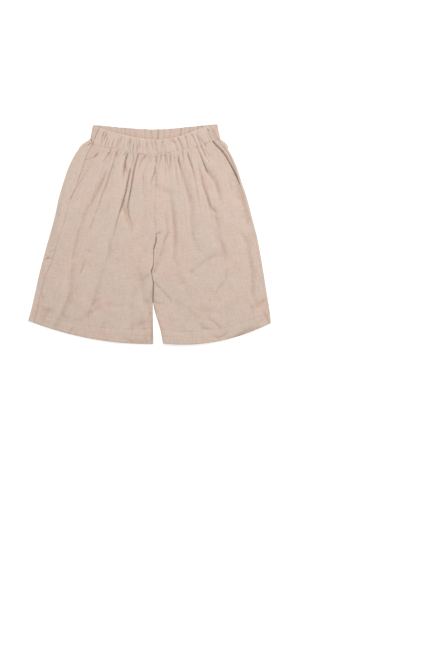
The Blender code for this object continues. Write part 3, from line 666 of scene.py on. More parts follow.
def make_mesh(name, points, faces, uv, tone, material):
    """An object of quads or triangles, with UVs in metres and its tone attribute, which carries the
    seams' dark, painted shade and painted highlight.
    """
    mesh = bpy.data.meshes.new(name)
    sides = faces.shape[1]
    mesh.vertices.add(len(points))
    mesh.vertices.foreach_set("co", points.astype(np.float32).ravel())
    mesh.loops.add(faces.size)
    mesh.loops.foreach_set("vertex_index", faces.astype(np.int32).ravel())
    mesh.polygons.add(len(faces))
    mesh.polygons.foreach_set("loop_start", np.arange(0, faces.size, sides, dtype=np.int32))
    layer = mesh.uv_layers.new(name="cloth")
    layer.data.foreach_set("uv", uv[faces.ravel()].astype(np.float32).ravel())
    attribute = mesh.attributes.new("tone", "FLOAT", "POINT")
    attribute.data.foreach_set("value", tone.astype(np.float32))
    mesh.update(calc_edges=True)
    mesh.validate()
    mesh.shade_smooth()
    mesh.set_sharp_from_angle(angle=math.radians(SHARP_EDGE))
    mesh.materials.append(material)
    piece = bpy.data.objects.new(name, mesh)
    bpy.context.scene.collection.objects.link(piece)
    return piece


def cavity(points, normals, passes, columns):
    """How far each point of a grid lies below the cloth around it.

    It is found over the first columns, and the last of them gives the others'.
    """
    points = points[:, :columns]
    around = points
    for _ in range(passes):
        for axis in (0, 1):
            margins = [(1, 1) if k == axis else (0, 0) for k in range(3)]
            wide = np.pad(around, margins, mode="edge")
            count = points.shape[axis]
            before = wide.take(range(count), axis)
            after = wide.take(range(2, count + 2), axis)
            around = (before + 2 * around + after) / 4
    depth = ((around - points) * normals[:, :columns]).sum(axis=-1)
    return np.pad(depth, ((0, 0), (0, normals.shape[1] - columns)), mode="edge")


def cloth_shell(name, outer, inner, grain, tone, place, material, full=CAVITY_FULL,
                shaded=None):
    """Close an outer and an inner grid into one piece of cloth.

    Its tone is painted shade: 1 in a fold and 2 in the deepest. It is negative on a
    crest, where it paints a highlight, and the given tone is added. The folds are
    looked for in the first columns, as many as shaded.
    """
    rows, columns, _ = outer.shape
    points = np.concatenate((outer.reshape(-1, 3), inner.reshape(-1, 3)))
    faces = shell_faces(rows, columns)
    if volume(points, faces) < 0:
        faces = faces[:, ::-1]
    normals = normals_of(outer)
    normals *= np.sign(((outer - inner) * normals).sum())
    shaded = shaded or columns
    # Painted shade where a point lies below the cloth around it, and a painted highlight on its
    # crests.
    tones = sum(np.stack((cavity(outer, normals, passes, shaded),
                          cavity(inner, -normals, passes, shaded))) / depth
                for passes, depth in zip(CAVITY_PASSES, full))
    tones = np.clip(np.maximum(tones, PALEST_CREST_HIGHLIGHT) + tone, -1, 2)
    uv = np.tile(grain.reshape(-1, 2), (2, 1)) * place.unit
    return make_mesh(name, place.metres(points), faces, uv, tones.ravel(), material)


# ---------------------------------------------------------------- legs

def leg_of(side, table, folds):
    """What a leg is made from: its sections, its folds, its seed and its own values."""
    return {"side": side, "table": table, "folds": [*folds.values(), *BAND_FOLDS.values()],
            "seed": SEEDS[side], **LEG_VALUES[side]}


def sections_of(leg, count, last=None):
    """The leg's sections at evenly spaced places, as columns of numbers."""
    table = leg["table"]
    last = len(table) - 1 if last is None else last
    places = np.linspace(0, last, count)
    section = Sections(*(smooth(column, places)[:, None] for column in zip(*table)))
    hip = leg["hip"] * np.sin(np.pi * np.clip(places, 0, 1))[:, None]
    outward = np.sign(section.outer_x - section.inner_x)
    return section._replace(outer_x=section.outer_x + outward * hip,
                            seam=section.seam + hip, mouth=section.mouth + hip)


def rounding_of(section):
    """0 where the front's inner edge is seamed flat, 1 where it is rounded."""
    return step_up(section.turn, *TURN_BETWEEN)


def width_of(section):
    return np.abs(section.inner_x - section.outer_x)


def meeting_at(y):
    """The wander, close and dark columns of the line where the legs meet."""
    line = smooth_line(LEGS_MEET, FOLD_STEP)[::-1]
    return (np.interp(y, line[:, 0], column) for column in line[:, 1:].T)


def plan(section, distance, layer):
    """x and y this far in from the outer edge, on the front (1) or the back (0)."""
    share = distance / width_of(section)
    x = mix(section.outer_x, section.inner_x, share)
    dip = 4 * share * (1 - share)
    front = mix(section.outer_y, section.front_y, share) - dip * section.front_bow
    back = mix(section.outer_y, section.back_y, share) - dip * section.back_bow
    y = mix(back, front, layer)
    inner = np.exp(-np.maximum(width_of(section) - distance, 0) / MEETING_FADE)
    wander, close, _ = meeting_at(y)
    return x + (wander + close * np.sign(section.inner_x - section.outer_x)) * inner, y


def waist_shift(section, x, y):
    """How far the front's waist moves so that it meets the waistband's foot."""
    share = (x - section.outer_x[0]) / (section.inner_x[0] - section.outer_x[0])
    dip = 4 * share * (1 - share) * section.front_bow[0]
    waist = mix(section.outer_y[0], section.front_y[0], share) - dip
    shift = height_of_line(FRONT_FOOT, x) - waist
    return shift * (1 - step_up(waist - y, 0, WAIST_FIT))


def laid_plan(section, distance, layer):
    """The plan with the front's waist moved to the waistband's foot."""
    x, y = plan(section, distance, layer)
    return x, y + layer * waist_shift(section, x, y)


def small_gathers(line, down):
    """The gathers below the waist seam, fading down the front and at its sides."""
    depth = 0.75 * gathers(line, down) * (1 - step_up(down, 20, 105))
    return depth * (1 - 0.8 * step_up(np.abs(line - 10), 100, 140))


def long_pleats(line, down, seed):
    """Faint unnamed pleats, from the foot of the gathers to the knees."""
    broad = 0.5 * bell(crumple(line / 14, down / 150, seed), 0.35)
    broad = broad * step_up(down, 15, 70) * (1 - step_up(down, 120, 260))
    return broad + 0.4 * crumple(line / 5, down / 160, seed + 9) * (1 - step_up(down, 150, 350))


def front_relief(leg, section, distance, x, y):
    """Everything that lifts or lowers the front from its smooth form."""
    width = width_of(section)
    edge = swell(distance - SIDE_FOLD / 2, FOLD_FADE)
    inside = mix(1, swell(width - SIDE_FOLD / 2 - distance, FOLD_FADE), section.turn)
    down = y[:1] - y
    line = mix(section.outer_x[0], section.inner_x[0], distance / width)
    near_seam = 0.45 + 0.55 * step_up(down, 0, 8)
    depth = (fold_depth(leg["folds"], x, y) + small_gathers(line, down)) * near_seam
    depth = depth + long_pleats(line, down, leg["seed"])
    return (rumples(FRONT_RUMPLES, x, y, leg["seed"] + 1) - depth) * edge * inside


def hem_relief(leg, share, from_hem):
    """The doubled hem: a step, its stitched groove and small puckers."""
    outer, inner = HEMS[leg["side"]]
    above = from_hem - mix(outer, inner, share)
    doubled = 0.45 * (1 - step_up(above, -2.5, 1))
    groove = 0.6 * bell(above, 1.4)
    puckered = mix(bell(above, 8), 1 - step_up(above, -3, 6), 0.5)
    pucker = 0.5 * crumple(share * 40, from_hem / 26, leg["seed"] + 4) * puckered
    second = 0.35 * bell(above + 17, 2.2)
    return doubled - groove + pucker - second


def front_form(leg, section, distance, down, from_hem):
    """The front's smooth form: crowned, level at the waist, sinking to its hem."""
    width = width_of(section)
    side = swell(distance - SIDE_FOLD / 2, SHOULDER)
    lower = INNER_FALL * step_up(section.turn, 0.1, 1)
    inside = mix(1, swell(width - SIDE_FOLD / 2 - distance, SHOULDER), lower)
    form = SIDE_FOLD + section.crown * side * inside
    form = mix(form, WAIST_LEVEL, bell(down, WAIST_HOLD))
    swollen, below, reach = UNDER_WAIST
    form += swollen * bell(down - below, reach) - WAIST_PINCH * bell(down, PINCH_REACH)
    level = np.interp(distance / width, (0, 0.5, 1), HEM_LEVELS[leg["side"]])
    return mix(form, level, np.exp(-(np.maximum(from_hem, 0) / HEM_SAG_REACH) ** 1.5))


def front_height(leg, section, distance, x, y, from_hem):
    """Height of the front's outer face."""
    height = front_form(leg, section, distance, y[:1] - y, from_hem)
    height = height + front_relief(leg, section, distance, x, y)
    height += hem_relief(leg, distance / width_of(section), from_hem)
    puckers = 0.3 + 1.3 * leg["seam"] * np.exp(-from_hem / 60)
    puckers = puckers * crumple(from_hem / 5, 0 * x, leg["seed"] + 8)
    height += puckers * bell(distance - section.seam * 0.7, 7)
    return LOWEST_FRONT + np.logaddexp(0, 2 * (height - LOWEST_FRONT)) / 2


def distance_from_hem(section, distance, layer):
    """Length up from the hem's edge, straight up the garment."""
    _, y = plan(section, distance, layer)
    return y - y[-1]


def flat_end_of(section):
    """Where the front's face ends: at the centre seam, or where it rounds down."""
    return width_of(section) - mix(CENTRE_ROOM, SIDE_FOLD / 2, rounding_of(section))


def front_columns(section):
    """Distances in from the outer edge, out to where the front's face ends."""
    start = section.mouth + SEAM_GAP / 2
    return start + (flat_end_of(section) - start) * np.linspace(0, 1, FRONT_COLUMNS)


def front_grid(leg, section):
    """The front panel's outer face, its smooth form and its added tone."""
    distance = front_columns(section)
    x, y = laid_plan(section, distance, 1)
    height = front_height(leg, section, distance, x, y, distance_from_hem(section, distance, 1))
    sewn = 1 - pocket_open(section, 3)
    height -= SEAM_ROLL * sewn * bell(distance - distance[:, :1], ROLL_REACH)
    height += leg["lift"] * mouth_opening(section, distance)
    flatness = 1 - rounding_of(section)
    height -= CENTRE_ROLL * flatness * bell(width_of(section) - distance, ROLL_REACH)
    flat = np.full_like(height, SIDE_FOLD)
    outer = side_by_side((x, y, height), inner_edge(section, height[:, -1:]))
    base = outer.copy()
    base[..., 2] = np.hstack((flat, inner_edge(section, flat[:, -1:])[2]))
    return outer, base, front_tone(leg, section, distance, y, sewn)


def front_tone(leg, section, distance, y, sewn):
    """The front's added dark: its seam's dark, and painted shade at its hem's edge and between the
    legs.
    """
    rounding = rounding_of(section)
    _, _, dark = meeting_at(y)
    shade = SEAM_TONE * leg["seam"] * sewn * bell(distance - distance[:, :1], SEAM_DARK)
    # Painted shade along the hem's edge.
    shade += HEM_SHADE_TONE * bell(y - y[-1], 2.5)
    # Painted shade along the inner edges and on the turned cloth between the legs.
    shade += EDGE_SHADE_TONE * leg["edge"] * dark * bell(distance - distance[:, -1:], 3) * rounding
    inseam_painted_shade = np.linspace(0.15, 1, ROUND_STEPS + 1) ** 0.6 * INSEAM_SHADE_TONE * rounding
    inseam_painted_shade = inseam_painted_shade * leg["edge"] * mix(0.15, 1, np.clip(dark[:, -1:], 0, 1))
    return np.hstack((shade, inseam_painted_shade))


def pocket_open(section, full):
    """0 where the pocket is closed, 1 where its mouth stands this far from the seam."""
    return np.clip((section.mouth - section.seam) / full, 0, 1)


def seam_dip(leg, section, distance):
    """How deep and dark the side seam is, this far from it: more beside the pocket."""
    gape = pocket_open(section, MOUTH_OPEN)
    return mix(leg["seam"], leg["seam"] + leg["roll"], gape) * bell(distance, SEAM_DARK)


def mouth_opening(section, distance):
    """1 at the open pocket mouth, dying out under and below it."""
    past_mouth = np.maximum(distance - section.mouth, 0)
    return pocket_open(section, MOUTH_OPEN) * np.exp(-past_mouth / FACING_REACH)


def inner_edge(section, tops):
    """The front's inner edge: a seam at the centre, a rounded fold on the leg."""
    flat_end = flat_end_of(section)
    step = np.arange(1, ROUND_STEPS + 2)
    down, out = (smooth(column, step / (ROUND_STEPS + 1) * (len(INSEAM_PROFILE) - 1))
                 for column in zip(*INSEAM_PROFILE))
    seam_end = width_of(section) - SEAM_GAP / 2
    straight = mix(flat_end, seam_end, step / (ROUND_STEPS + 1))
    turned = flat_end + out
    lowered = tops * (1 - np.clip(down, 0, 1))
    rounding = rounding_of(section)
    x, y = laid_plan(section, mix(straight, turned, rounding), 1)
    return x, y, mix(tops, lowered, rounding)


def grain_of(outer):
    """Flat coordinates along the cloth's threads, in millimetres."""
    rows = len(outer)
    steps = np.linalg.norm(np.diff(outer[rows // 2], axis=0), axis=1)
    across = np.concatenate(([0], np.cumsum(steps)))
    down = np.linspace(0, LEG_GRAIN, rows)
    return np.stack(np.broadcast_arrays(across[None, :], down[:, None]), axis=-1)


def make_front(leg, place, material):
    """The front panel, and its outer face for the stitches."""
    section = sections_of(leg, LEG_ROWS)
    outer, base, tone = front_grid(leg, section)
    outer[0, :, 1] -= SEAM_GAP / 2
    inner = outer - outward(base) * SHELL
    name = f"front_{leg['side']}_leg_cloth"
    piece = cloth_shell(name, outer, inner, grain_of(outer), tone, place, material,
                        shaded=FRONT_COLUMNS)
    return piece, outer


def under_relief(leg, section, distance):
    """Shallow troughs on the underside, dying out at its edges."""
    width = width_of(section)
    edge = swell(distance - SIDE_FOLD, 25) * swell(width - 9 - distance, 25)
    down = np.broadcast_to(np.linspace(0, 1, LEG_ROWS)[:, None], distance.shape)
    share = distance / width
    gathered = 1 - step_up(down, 0, 0.35)
    relief = 0.9 * gathered * crumple(share * 30, down * 4, leg["seed"] + 5)
    relief += 0.8 * crumple(share * 7, down * 3, leg["seed"] + 6)
    relief += 0.35 * crumple(share * 22, down * 9, leg["seed"] + 7)
    return np.clip(0.25 + relief, 0, 1.5) * edge


def underside(leg, section):
    """The x, y and z of the underside, which ends at a seam or under the inner edge."""
    radius = SIDE_FOLD / 2
    rounding = step_up(rounding_of(section), 0.6, 1)
    retreat = mix(SEAM_GAP / 2, radius + INSEAM_TURN + SEAM_GAP, rounding)
    reach = mix(radius, width_of(section) - retreat, np.linspace(0, 1, UNDER_COLUMNS)[1:])
    return (*plan(section, reach, 0), under_relief(leg, section, reach))


def side_fold(tops):
    """Distances in from the leg's edge round its blunt fold, and the layer there."""
    angle = np.pi * np.linspace(0, 1, ROUND_STEPS + 2)[1:]
    radius = SIDE_FOLD / 2
    turned = radius - radius * np.abs(np.sin(angle)) ** BLUNT + 0 * tops
    return turned, (1 + np.sign(np.cos(angle)) * np.abs(np.cos(angle)) ** BLUNT) / 2


def make_back(leg, place, material):
    """The back panel: what wraps onto the front, the side fold, the underside."""
    section = sections_of(leg, LEG_ROWS)
    wrap = mix(section.seam - SEAM_GAP / 2, SIDE_FOLD / 2, np.linspace(0, 1, WRAP_COLUMNS))
    x, y = laid_plan(section, wrap, 1)
    height = front_height(leg, section, wrap, x, y, distance_from_hem(section, wrap, 1))
    dip = seam_dip(leg, section, section.seam - wrap)
    height -= SEAM_ROLL * dip
    turned, layer = side_fold(height[:, -1:])
    turned_z = height[:, -1:] * layer
    under = underside(leg, section)
    outer = side_by_side((x, y, height), (*laid_plan(section, turned, layer), turned_z), under)
    outer[0, :, 1] -= SEAM_GAP / 2
    base = outer.copy()
    base[..., 2] = np.hstack((SIDE_FOLD + 0 * height, SIDE_FOLD * layer + 0 * turned_z,
                              0 * under[2]))
    tone = np.zeros(outer.shape[:2])
    tone[:, :WRAP_COLUMNS] = SEAM_TONE * dip
    name = f"back_{leg['side']}_leg_cloth"
    return cloth_shell(name, outer, outer - outward(base) * SHELL, grain_of(outer), tone,
                       place, material), outer


def facing_drop(leg, section, distance, open_mouth):
    """How far the facing sinks below the front, in the gap and under the mouth."""
    sinks_from = np.maximum(section.mouth - mix(1, leg["gap"], open_mouth), section.seam)
    sunk = step_up((distance - sinks_from) / np.maximum(section.mouth - sinks_from, 1), 0, 1)
    return (SHELL + 0.4 + leg["drop"] * pocket_open(section, 4)) * sunk


def make_facing(leg, place, material):
    """The strip of pocket facing that shows, and its reach under the front."""
    section = sections_of(leg, FACING_ROWS, POCKET_END)
    start = section.seam + SEAM_GAP / 2
    distance = mix(start, section.mouth + FACING_REACH, np.linspace(0, 1, FACING_COLUMNS))
    x, y = laid_plan(section, distance, 1)
    open_mouth = step_up(y[:1] - y, 0.4 * leg["shut"], leg["shut"])
    dip = seam_dip(leg, section, distance - start)
    height = front_height(leg, section, distance, x, y, y - leg["table"][-1][1])
    height += leg["lift"] * mouth_opening(section, distance)
    height -= SEAM_ROLL * dip + facing_drop(leg, section, distance, open_mouth)
    outer = np.stack((x, y, np.maximum(height, LOWEST_FACING)), axis=-1)
    outer[0, :, 1] -= SEAM_GAP / 2
    gape = pocket_open(section, MOUTH_OPEN)
    # Painted shadow on the facing under the edge of the pocket mouth.
    mouth_painted_shadow = bell(distance - section.mouth, 3) * gape * open_mouth
    tone = SEAM_TONE * dip * gape + MOUTH_SHADOW_TONE * leg["mouth"] * mouth_painted_shadow
    name = f"pocket_facing_{leg['side']}_cloth"
    return cloth_shell(name, outer, outer - np.array((0, 0, FACING_SHELL)),
                       np.stack((distance, y), axis=-1), tone, place, material)


# ---------------------------------------------------------------- waistband

def band_rows():
    """Shares up the casing, and how thick it is there: round at its top."""
    flat_rows = BAND_ROWS - BAND_TOP_ROWS
    angle = np.linspace(0, np.pi / 2 * 0.97, BAND_TOP_ROWS + 1)[1:]
    share = np.concatenate((np.linspace(0, 1, flat_rows), np.ones(BAND_TOP_ROWS)))
    beyond = np.concatenate((np.zeros(flat_rows), np.sin(angle)))
    thick = np.concatenate((np.ones(flat_rows), np.cos(angle)))
    return share[:, None], beyond[:, None], thick[:, None]


def band_plan(foot_x, foot_y, top_x, top_y):
    """x, y and rise over the casing, whose round top ends at the top line."""
    share, beyond, thick = band_rows()
    length = np.hypot(top_x - foot_x, top_y - foot_y)
    up = share * (1 - BAND_ROUND / length) + beyond * BAND_ROUND / length
    return mix(foot_x, top_x, up), mix(foot_y, top_y, up), up * length, thick


def casing_relief(x, y, line, rise):
    """The front casing's outer face over its middle, before its top rounds down."""
    puff = mix(WAIST_LEVEL - BAND_FRONT_LEVEL, BAND_PUFF, swell(rise, 10))
    near_top = 1 - 0.45 * step_up(rise, 30, 44)
    depth = fold_depth(BAND_FOLDS.values(), x, y) + gathers(line, -rise)
    return np.maximum(puff - near_top * depth - WAIST_PINCH * bell(rise, PINCH_REACH), DEEPEST_CASING)


def make_band_front(place, material):
    """The front casing, between the laps."""
    share = np.linspace(0, 1, BAND_COLUMNS)[None, :]
    foot_x, top_x = (mix(BAND_ENDS[row][0] + BAND_WRAPS[row][0] + SEAM_GAP / 2,
                         BAND_ENDS[row][1] - BAND_WRAPS[row][1] - SEAM_GAP / 2, share)
                     for row in ("foot", "top"))
    foot_y = height_of_line(FRONT_FOOT, foot_x) + SEAM_GAP / 2
    top_y = height_of_line(FRONT_TOP, top_x)
    top_y = top_y + 0.6 * crumple(share * 50, 0 * share, SEEDS["band"] + 4)
    x, y, rise, thick = band_plan(foot_x, foot_y, top_x, top_y)
    end = np.minimum(share, 1 - share) * (top_x[0, -1] - top_x[0, 0])
    puff = casing_relief(x, y, foot_x + 0 * rise, rise) - SEAM_ROLL * bell(end, ROLL_REACH)
    outer = np.stack((x, y, BAND_FRONT_LEVEL + puff * thick), axis=-1)
    under = mix(1.5, BAND_HALF, swell(rise, 5)) + 0.3 * crumple(x / 8, rise / 20, SEEDS["band"] + 5)
    inner = np.stack((x, y, BAND_FRONT_LEVEL - under * thick), axis=-1)
    grain = np.stack(np.broadcast_arrays(share * FRONT_BAND_GRAIN, rise), axis=-1)
    tone = BAND_TONE * (1 - 0.6 * share) + SEAM_TONE * bell(end, LAP_DARK)
    piece = cloth_shell("waistband_front_cloth", outer, inner, grain, tone, place, material,
                        BAND_CAVITY_FULL)
    return piece, outer


def band_path(row):
    """The back casing from its west lap to its east lap: x, angle and side.

    The angle is 0 where it lies on the front and pi on the back, and the side is
    -1 at the west end and 1 at the east end.
    """
    left, right = BAND_ENDS[row]
    west, east = BAND_WRAPS[row]
    radius = (BAND_FRONT_LEVEL - BAND_BACK_LEVEL) / 2
    angle = np.linspace(0, np.pi, TURN_COLUMNS)
    turn_x = BAND_HALF + radius * (1 - np.sin(angle))
    lap = np.linspace(0, 1, LAP_COLUMNS, endpoint=False)
    turn_from = left + BAND_HALF + radius
    turn_to = right - BAND_HALF - radius
    x = np.concatenate((mix(left + west - SEAM_GAP / 2, turn_from, lap), left + turn_x,
                        np.linspace(turn_from, turn_to, BACK_COLUMNS + 2)[1:-1],
                        right - turn_x[::-1],
                        mix(right - east + SEAM_GAP / 2, turn_to, lap)[::-1]))
    angles = np.concatenate((0 * lap, angle, np.full(BACK_COLUMNS, np.pi), angle[::-1], 0 * lap))
    end = np.ones(LAP_COLUMNS + TURN_COLUMNS)
    side = np.concatenate((-end, np.zeros(BACK_COLUMNS), end))
    return x[None, :], angles[None, :], side[None, :]


def casing_faces(x, rise, share, front, relief):
    """How far the back casing's outside and inside lie from its middle."""
    folded = BAND_HALF + 0.5 * crumple(share * 60 + 0 * rise, rise / 18, SEEDS["band"] + 5)
    under = np.minimum(folded, BAND_BACK_LEVEL)
    outside = np.where(front < 0.5, under, mix(folded, relief, front))
    within = BAND_HALF + (1 - front) * (0.8 - inside_gathers(x, rise))
    return np.maximum(outside, DEEPEST_CASING), np.maximum(within, 0.9 * front + 0.2)


def make_band_back(place, material):
    """The back casing, with the laps that turn onto the front at both ends."""
    foot_x, angle, side = band_path("foot")
    top_x, _, _ = band_path("top")
    front = (1 + np.cos(angle)) / 2
    foot_y = mix(height_of_line(BACK_FOOT, foot_x), height_of_line(FRONT_FOOT, foot_x), front)
    top_y = mix(height_of_line(BACK_TOP, top_x), height_of_line(FRONT_TOP, top_x), front)
    share = np.linspace(0, 1, top_x.shape[1])[None, :]
    top_y = top_y + 0.6 * crumple(share * 58, 0 * share, SEEDS["band"] + 4)
    x, y, rise, thick = band_plan(foot_x, foot_y + SEAM_GAP / 2, top_x, top_y)
    level = mix(BAND_BACK_LEVEL, BAND_FRONT_LEVEL, front)
    normal = np.stack(np.broadcast_arrays(side * np.sin(angle), 0 * angle, np.cos(angle)), axis=-1)
    middle = np.stack((x, y, level + 0 * x), axis=-1)
    end = np.minimum(np.abs(x - x[:, :1]), np.abs(x - x[:, -1:]))
    relief = casing_relief(x, y, foot_x + 0 * rise, rise) - SEAM_ROLL * bell(end, ROLL_REACH)
    outside, within = casing_faces(x, rise, share, front, relief)
    outer = middle + normal * (outside * thick)[..., None]
    inner = middle - normal * (within * thick)[..., None]
    grain = np.stack(np.broadcast_arrays(share * BACK_BAND_GRAIN, rise), axis=-1)
    lap_tone = SEAM_TONE * bell(end, LAP_DARK) - LAP_PALER * bell(end - 10, 8)
    tone = np.where(front > 0.5, lap_tone, 0)
    piece = cloth_shell("waistband_back_cloth", outer, inner, grain, tone, place, material,
                        BAND_CAVITY_FULL)
    return piece, outer


def inside_gathers(x, rise):
    """Depth of the gathers that show inside the back casing."""
    total = 0.4 + 0.3 * gathers(x + 500, rise)
    for where, depth, reach in INSIDE_GATHERS:
        lean = where + (rise / 11 - 3.2) * np.sign(where - 13)
        total = total + depth * bell(x - lean, reach)
    return total


# ---------------------------------------------------------------- stitches

def sample(grid, rows, columns):
    """Values of a grid at places between its points."""
    i = np.clip(rows.astype(int), 0, grid.shape[0] - 2)
    j = np.clip(columns.astype(int), 0, grid.shape[1] - 2)
    down = (rows - i)[:, None]
    over = (columns - j)[:, None]
    return mix(mix(grid[i, j], grid[i, j + 1], over),
               mix(grid[i + 1, j], grid[i + 1, j + 1], over), down)


def hem_line(leg, outer, count):
    """Rows and columns of the hem's stitches on a panel's first columns."""
    table = leg["table"]
    share = (outer[-1, :count, 0] - table[-1][0]) / (table[-1][2] - table[-1][0])
    above = mix(*HEMS[leg["side"]], np.clip(share, 0, 1))
    heights = outer[:, :count, 1] - outer[-1, :count, 1]
    rows = [np.interp(-here, -column, np.arange(LEG_ROWS)) for here, column in zip(above, heights.T)]
    return np.array(rows), np.arange(count, dtype=float)


def mouth_line(leg, outer):
    """Rows and columns of the stitches inside the pocket's mouth."""
    last = POCKET_END / (len(leg["table"]) - 1) * (LEG_ROWS - 1)
    rows = np.linspace(1, last, LEG_ROWS)
    ten_columns = np.linalg.norm(outer[:, 10, :2] - outer[:, 0, :2], axis=-1)
    return rows, 10 * MOUTH_STITCH / np.interp(rows, np.arange(LEG_ROWS), ten_columns)


def casing_line(outer):
    """Rows and columns of the stitches along the casing's foot."""
    one_row = np.linalg.norm(outer[1, :, :2] - outer[0, :, :2], axis=-1)
    return CASING_STITCH / one_row, np.arange(outer.shape[1], dtype=float)


def spindles(points, normals):
    """Stitches in a row along a line: two pointed ends, then two rings of six points."""
    along = np.concatenate(([0], np.cumsum(np.linalg.norm(np.diff(points, axis=0), axis=1))))
    starts = np.arange(0, along[-1] - STITCH_LENGTH, STITCH_PITCH)[:, None]
    places = starts + STITCH_LENGTH * np.array((0, 0.25, 0.75, 1))
    at = np.stack([np.interp(places, along, column) for column in points.T], axis=-1)
    up = np.stack([np.interp(places, along, column) for column in normals.T], axis=-1)
    tips = at[:, (0, 3)] - STITCH_HALF * up[:, (0, 3)]
    up = up[:, 1:3]
    side = unit_vectors(np.cross(up, at[:, 3:] - at[:, :1]))
    angle = np.linspace(0, 2 * np.pi, 7)[:-1, None]
    round_it = np.cos(angle) * side[:, :, None] + np.sin(angle) * up[:, :, None]
    rings = at[:, 1:3, None] + STITCH_HALF * round_it
    return np.concatenate((tips, rings.reshape(-1, 12, 3)), axis=1)


def spindle_faces(count):
    """Triangles of this many stitches."""
    first = np.arange(6) + 2
    first_after = np.roll(first, -1)
    second = first + 6
    second_after = first_after + 6
    tip = 0 * first
    one = np.concatenate((np.stack((tip, first_after, first), axis=-1),
                          np.stack((first, first_after, second), axis=-1),
                          np.stack((first_after, second_after, second), axis=-1),
                          np.stack((second, second_after, tip + 1), axis=-1)))
    return (one + 14 * np.arange(count)[:, None, None]).reshape(-1, 3)


def make_stitches(name, lines, place, material):
    """All the stitches along some lines: each an outer grid with its rows and columns."""
    rows = [spindles(sample(outer, *line), sample(outward(outer), *line))
            for outer, line in lines]
    points = np.concatenate(rows)
    faces = spindle_faces(len(points))
    points = points.reshape(-1, 3)
    stitches = make_mesh(name, place.metres(points), faces, points[:, :2] * place.unit,
                         np.zeros(len(points)), material)
    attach(stitches, "root")


# ---------------------------------------------------------------- materials

class Nodes:
    """Short calls to build a node tree."""

    def __init__(self, name):
        self.material = bpy.data.materials.new(name)
        self.material.use_nodes = True
        self.tree = self.material.node_tree
        self.shader = self.tree.nodes["Principled BSDF"]

    def add(self, kind, inputs=(), **settings):
        node = self.tree.nodes.new(kind)
        for key, value in settings.items():
            setattr(node, key, value)
        for key, value in dict(inputs).items():
            self.put(value, node.inputs[key])
        return node.outputs[0]

    def put(self, value, socket):
        if isinstance(value, bpy.types.NodeSocket):
            self.tree.links.new(value, socket)
        else:
            socket.default_value = value

    def finish(self, inputs):
        """Set the shader's inputs and give back the material."""
        for key, value in inputs.items():
            self.put(value, self.shader.inputs[key])
        return self.material

    def uv(self):
        node = self.tree.nodes.new("ShaderNodeUVMap")
        node.uv_map = "cloth"
        return node.outputs[0]

    def math(self, operation, first, second=0.0):
        return self.add("ShaderNodeMath", {0: first, 1: second}, operation=operation)

    def tint(self, first, second):
        return self.mix(1.0, first, second, "MULTIPLY")

    def mix(self, share, first, second, blend="MIX"):
        node = self.tree.nodes.new("ShaderNodeMix")
        node.data_type = "RGBA"
        node.blend_type = blend
        self.put(share, node.inputs[0])
        self.put(first, node.inputs[6])
        self.put(second, node.inputs[7])
        return node.outputs[2]

    def noise(self, vector, scale, detail=2.0, rough=0.5):
        return self.add("ShaderNodeTexNoise", {"Vector": vector, "Scale": scale,
                                               "Detail": detail, "Roughness": rough})

    def stretched(self, vector, scale_x, scale_y):
        return self.add("ShaderNodeMapping", {"Vector": vector,
                                              "Scale": (scale_x, scale_y, 1.0)})

    def ramp(self, value, low, high, first=0.0, second=1.0):
        return self.add("ShaderNodeMapRange", {"Value": value, "From Min": low,
                                               "From Max": high, "To Min": first,
                                               "To Max": second})


def color(rgb):
    return (*rgb, 1.0)


def weave(nodes, uv):
    """Height of plain-woven hemp: crossing threads of uneven thickness."""
    slub_down = nodes.noise(nodes.stretched(uv, ACROSS_SLUBS, ALONG_SLUBS), 1.0)
    slub_over = nodes.noise(nodes.stretched(uv, ALONG_SLUBS, ACROSS_SLUBS), 1.0)
    pitch = 2 * math.pi * THREADS_PER_METRE
    split = nodes.tree.nodes.new("ShaderNodeSeparateXYZ")
    nodes.put(uv, split.inputs[0])
    wobble = nodes.ramp(nodes.noise(uv, STRAYING), 0, 1, -THREAD_STRAY, THREAD_STRAY)
    down = nodes.math("SINE", nodes.math("ADD", nodes.math("MULTIPLY", split.outputs[0], pitch),
                                         wobble))
    over = nodes.math("SINE", nodes.math("ADD", nodes.math("MULTIPLY", split.outputs[1], pitch),
                                         wobble))
    threads = nodes.math("MAXIMUM", nodes.math("MULTIPLY", down, slub_down),
                         nodes.math("MULTIPLY", over, slub_over))
    return threads, slub_down, slub_over


def painted_shade_and_highlight(nodes, main, crest):
    """The cloth's colour by its tone: painted shade in the folds and seams, a painted highlight on
    the crests.
    """
    tone = nodes.tree.nodes.new("ShaderNodeAttribute")
    tone.attribute_name = "tone"
    tone = tone.outputs["Fac"]
    base = nodes.mix(nodes.ramp(tone, 0.0, 1.0), color(main), color(HOLLOW_SHADE_COLOR))
    base = nodes.mix(nodes.ramp(tone, 1.0, 2.0), base, color(DEEP_SHADE_COLOR))
    return nodes.mix(nodes.ramp(tone, 0.0, -0.5), base, color(crest))


def mottled(nodes, uv, base, slubs, mottle):
    """The colour made uneven: by its threads, in specks and in soft clouds."""
    cloud = nodes.noise(uv, CLOUDS)
    blush = nodes.noise(uv, BLUSH, 3.0, 0.55)
    base = nodes.tint(base, nodes.mix(nodes.ramp(blush, 0.38, 0.62), color(PINKER),
                                      color(GREYER)))
    shade = nodes.ramp(slubs, 0.7, 1.3, 0.89, 1.11)
    shade = nodes.math("MULTIPLY", shade, nodes.ramp(mottle, 0.3, 0.7, 0.925, 1.075))
    shade = nodes.math("MULTIPLY", shade, nodes.ramp(cloud, 0.3, 0.7, 0.98, 1.02))
    warmer = {0: nodes.math("POWER", shade, 0.75), 1: shade, 2: nodes.math("POWER", shade, 1.2)}
    return nodes.tint(base, nodes.add("ShaderNodeCombineColor", warmer))


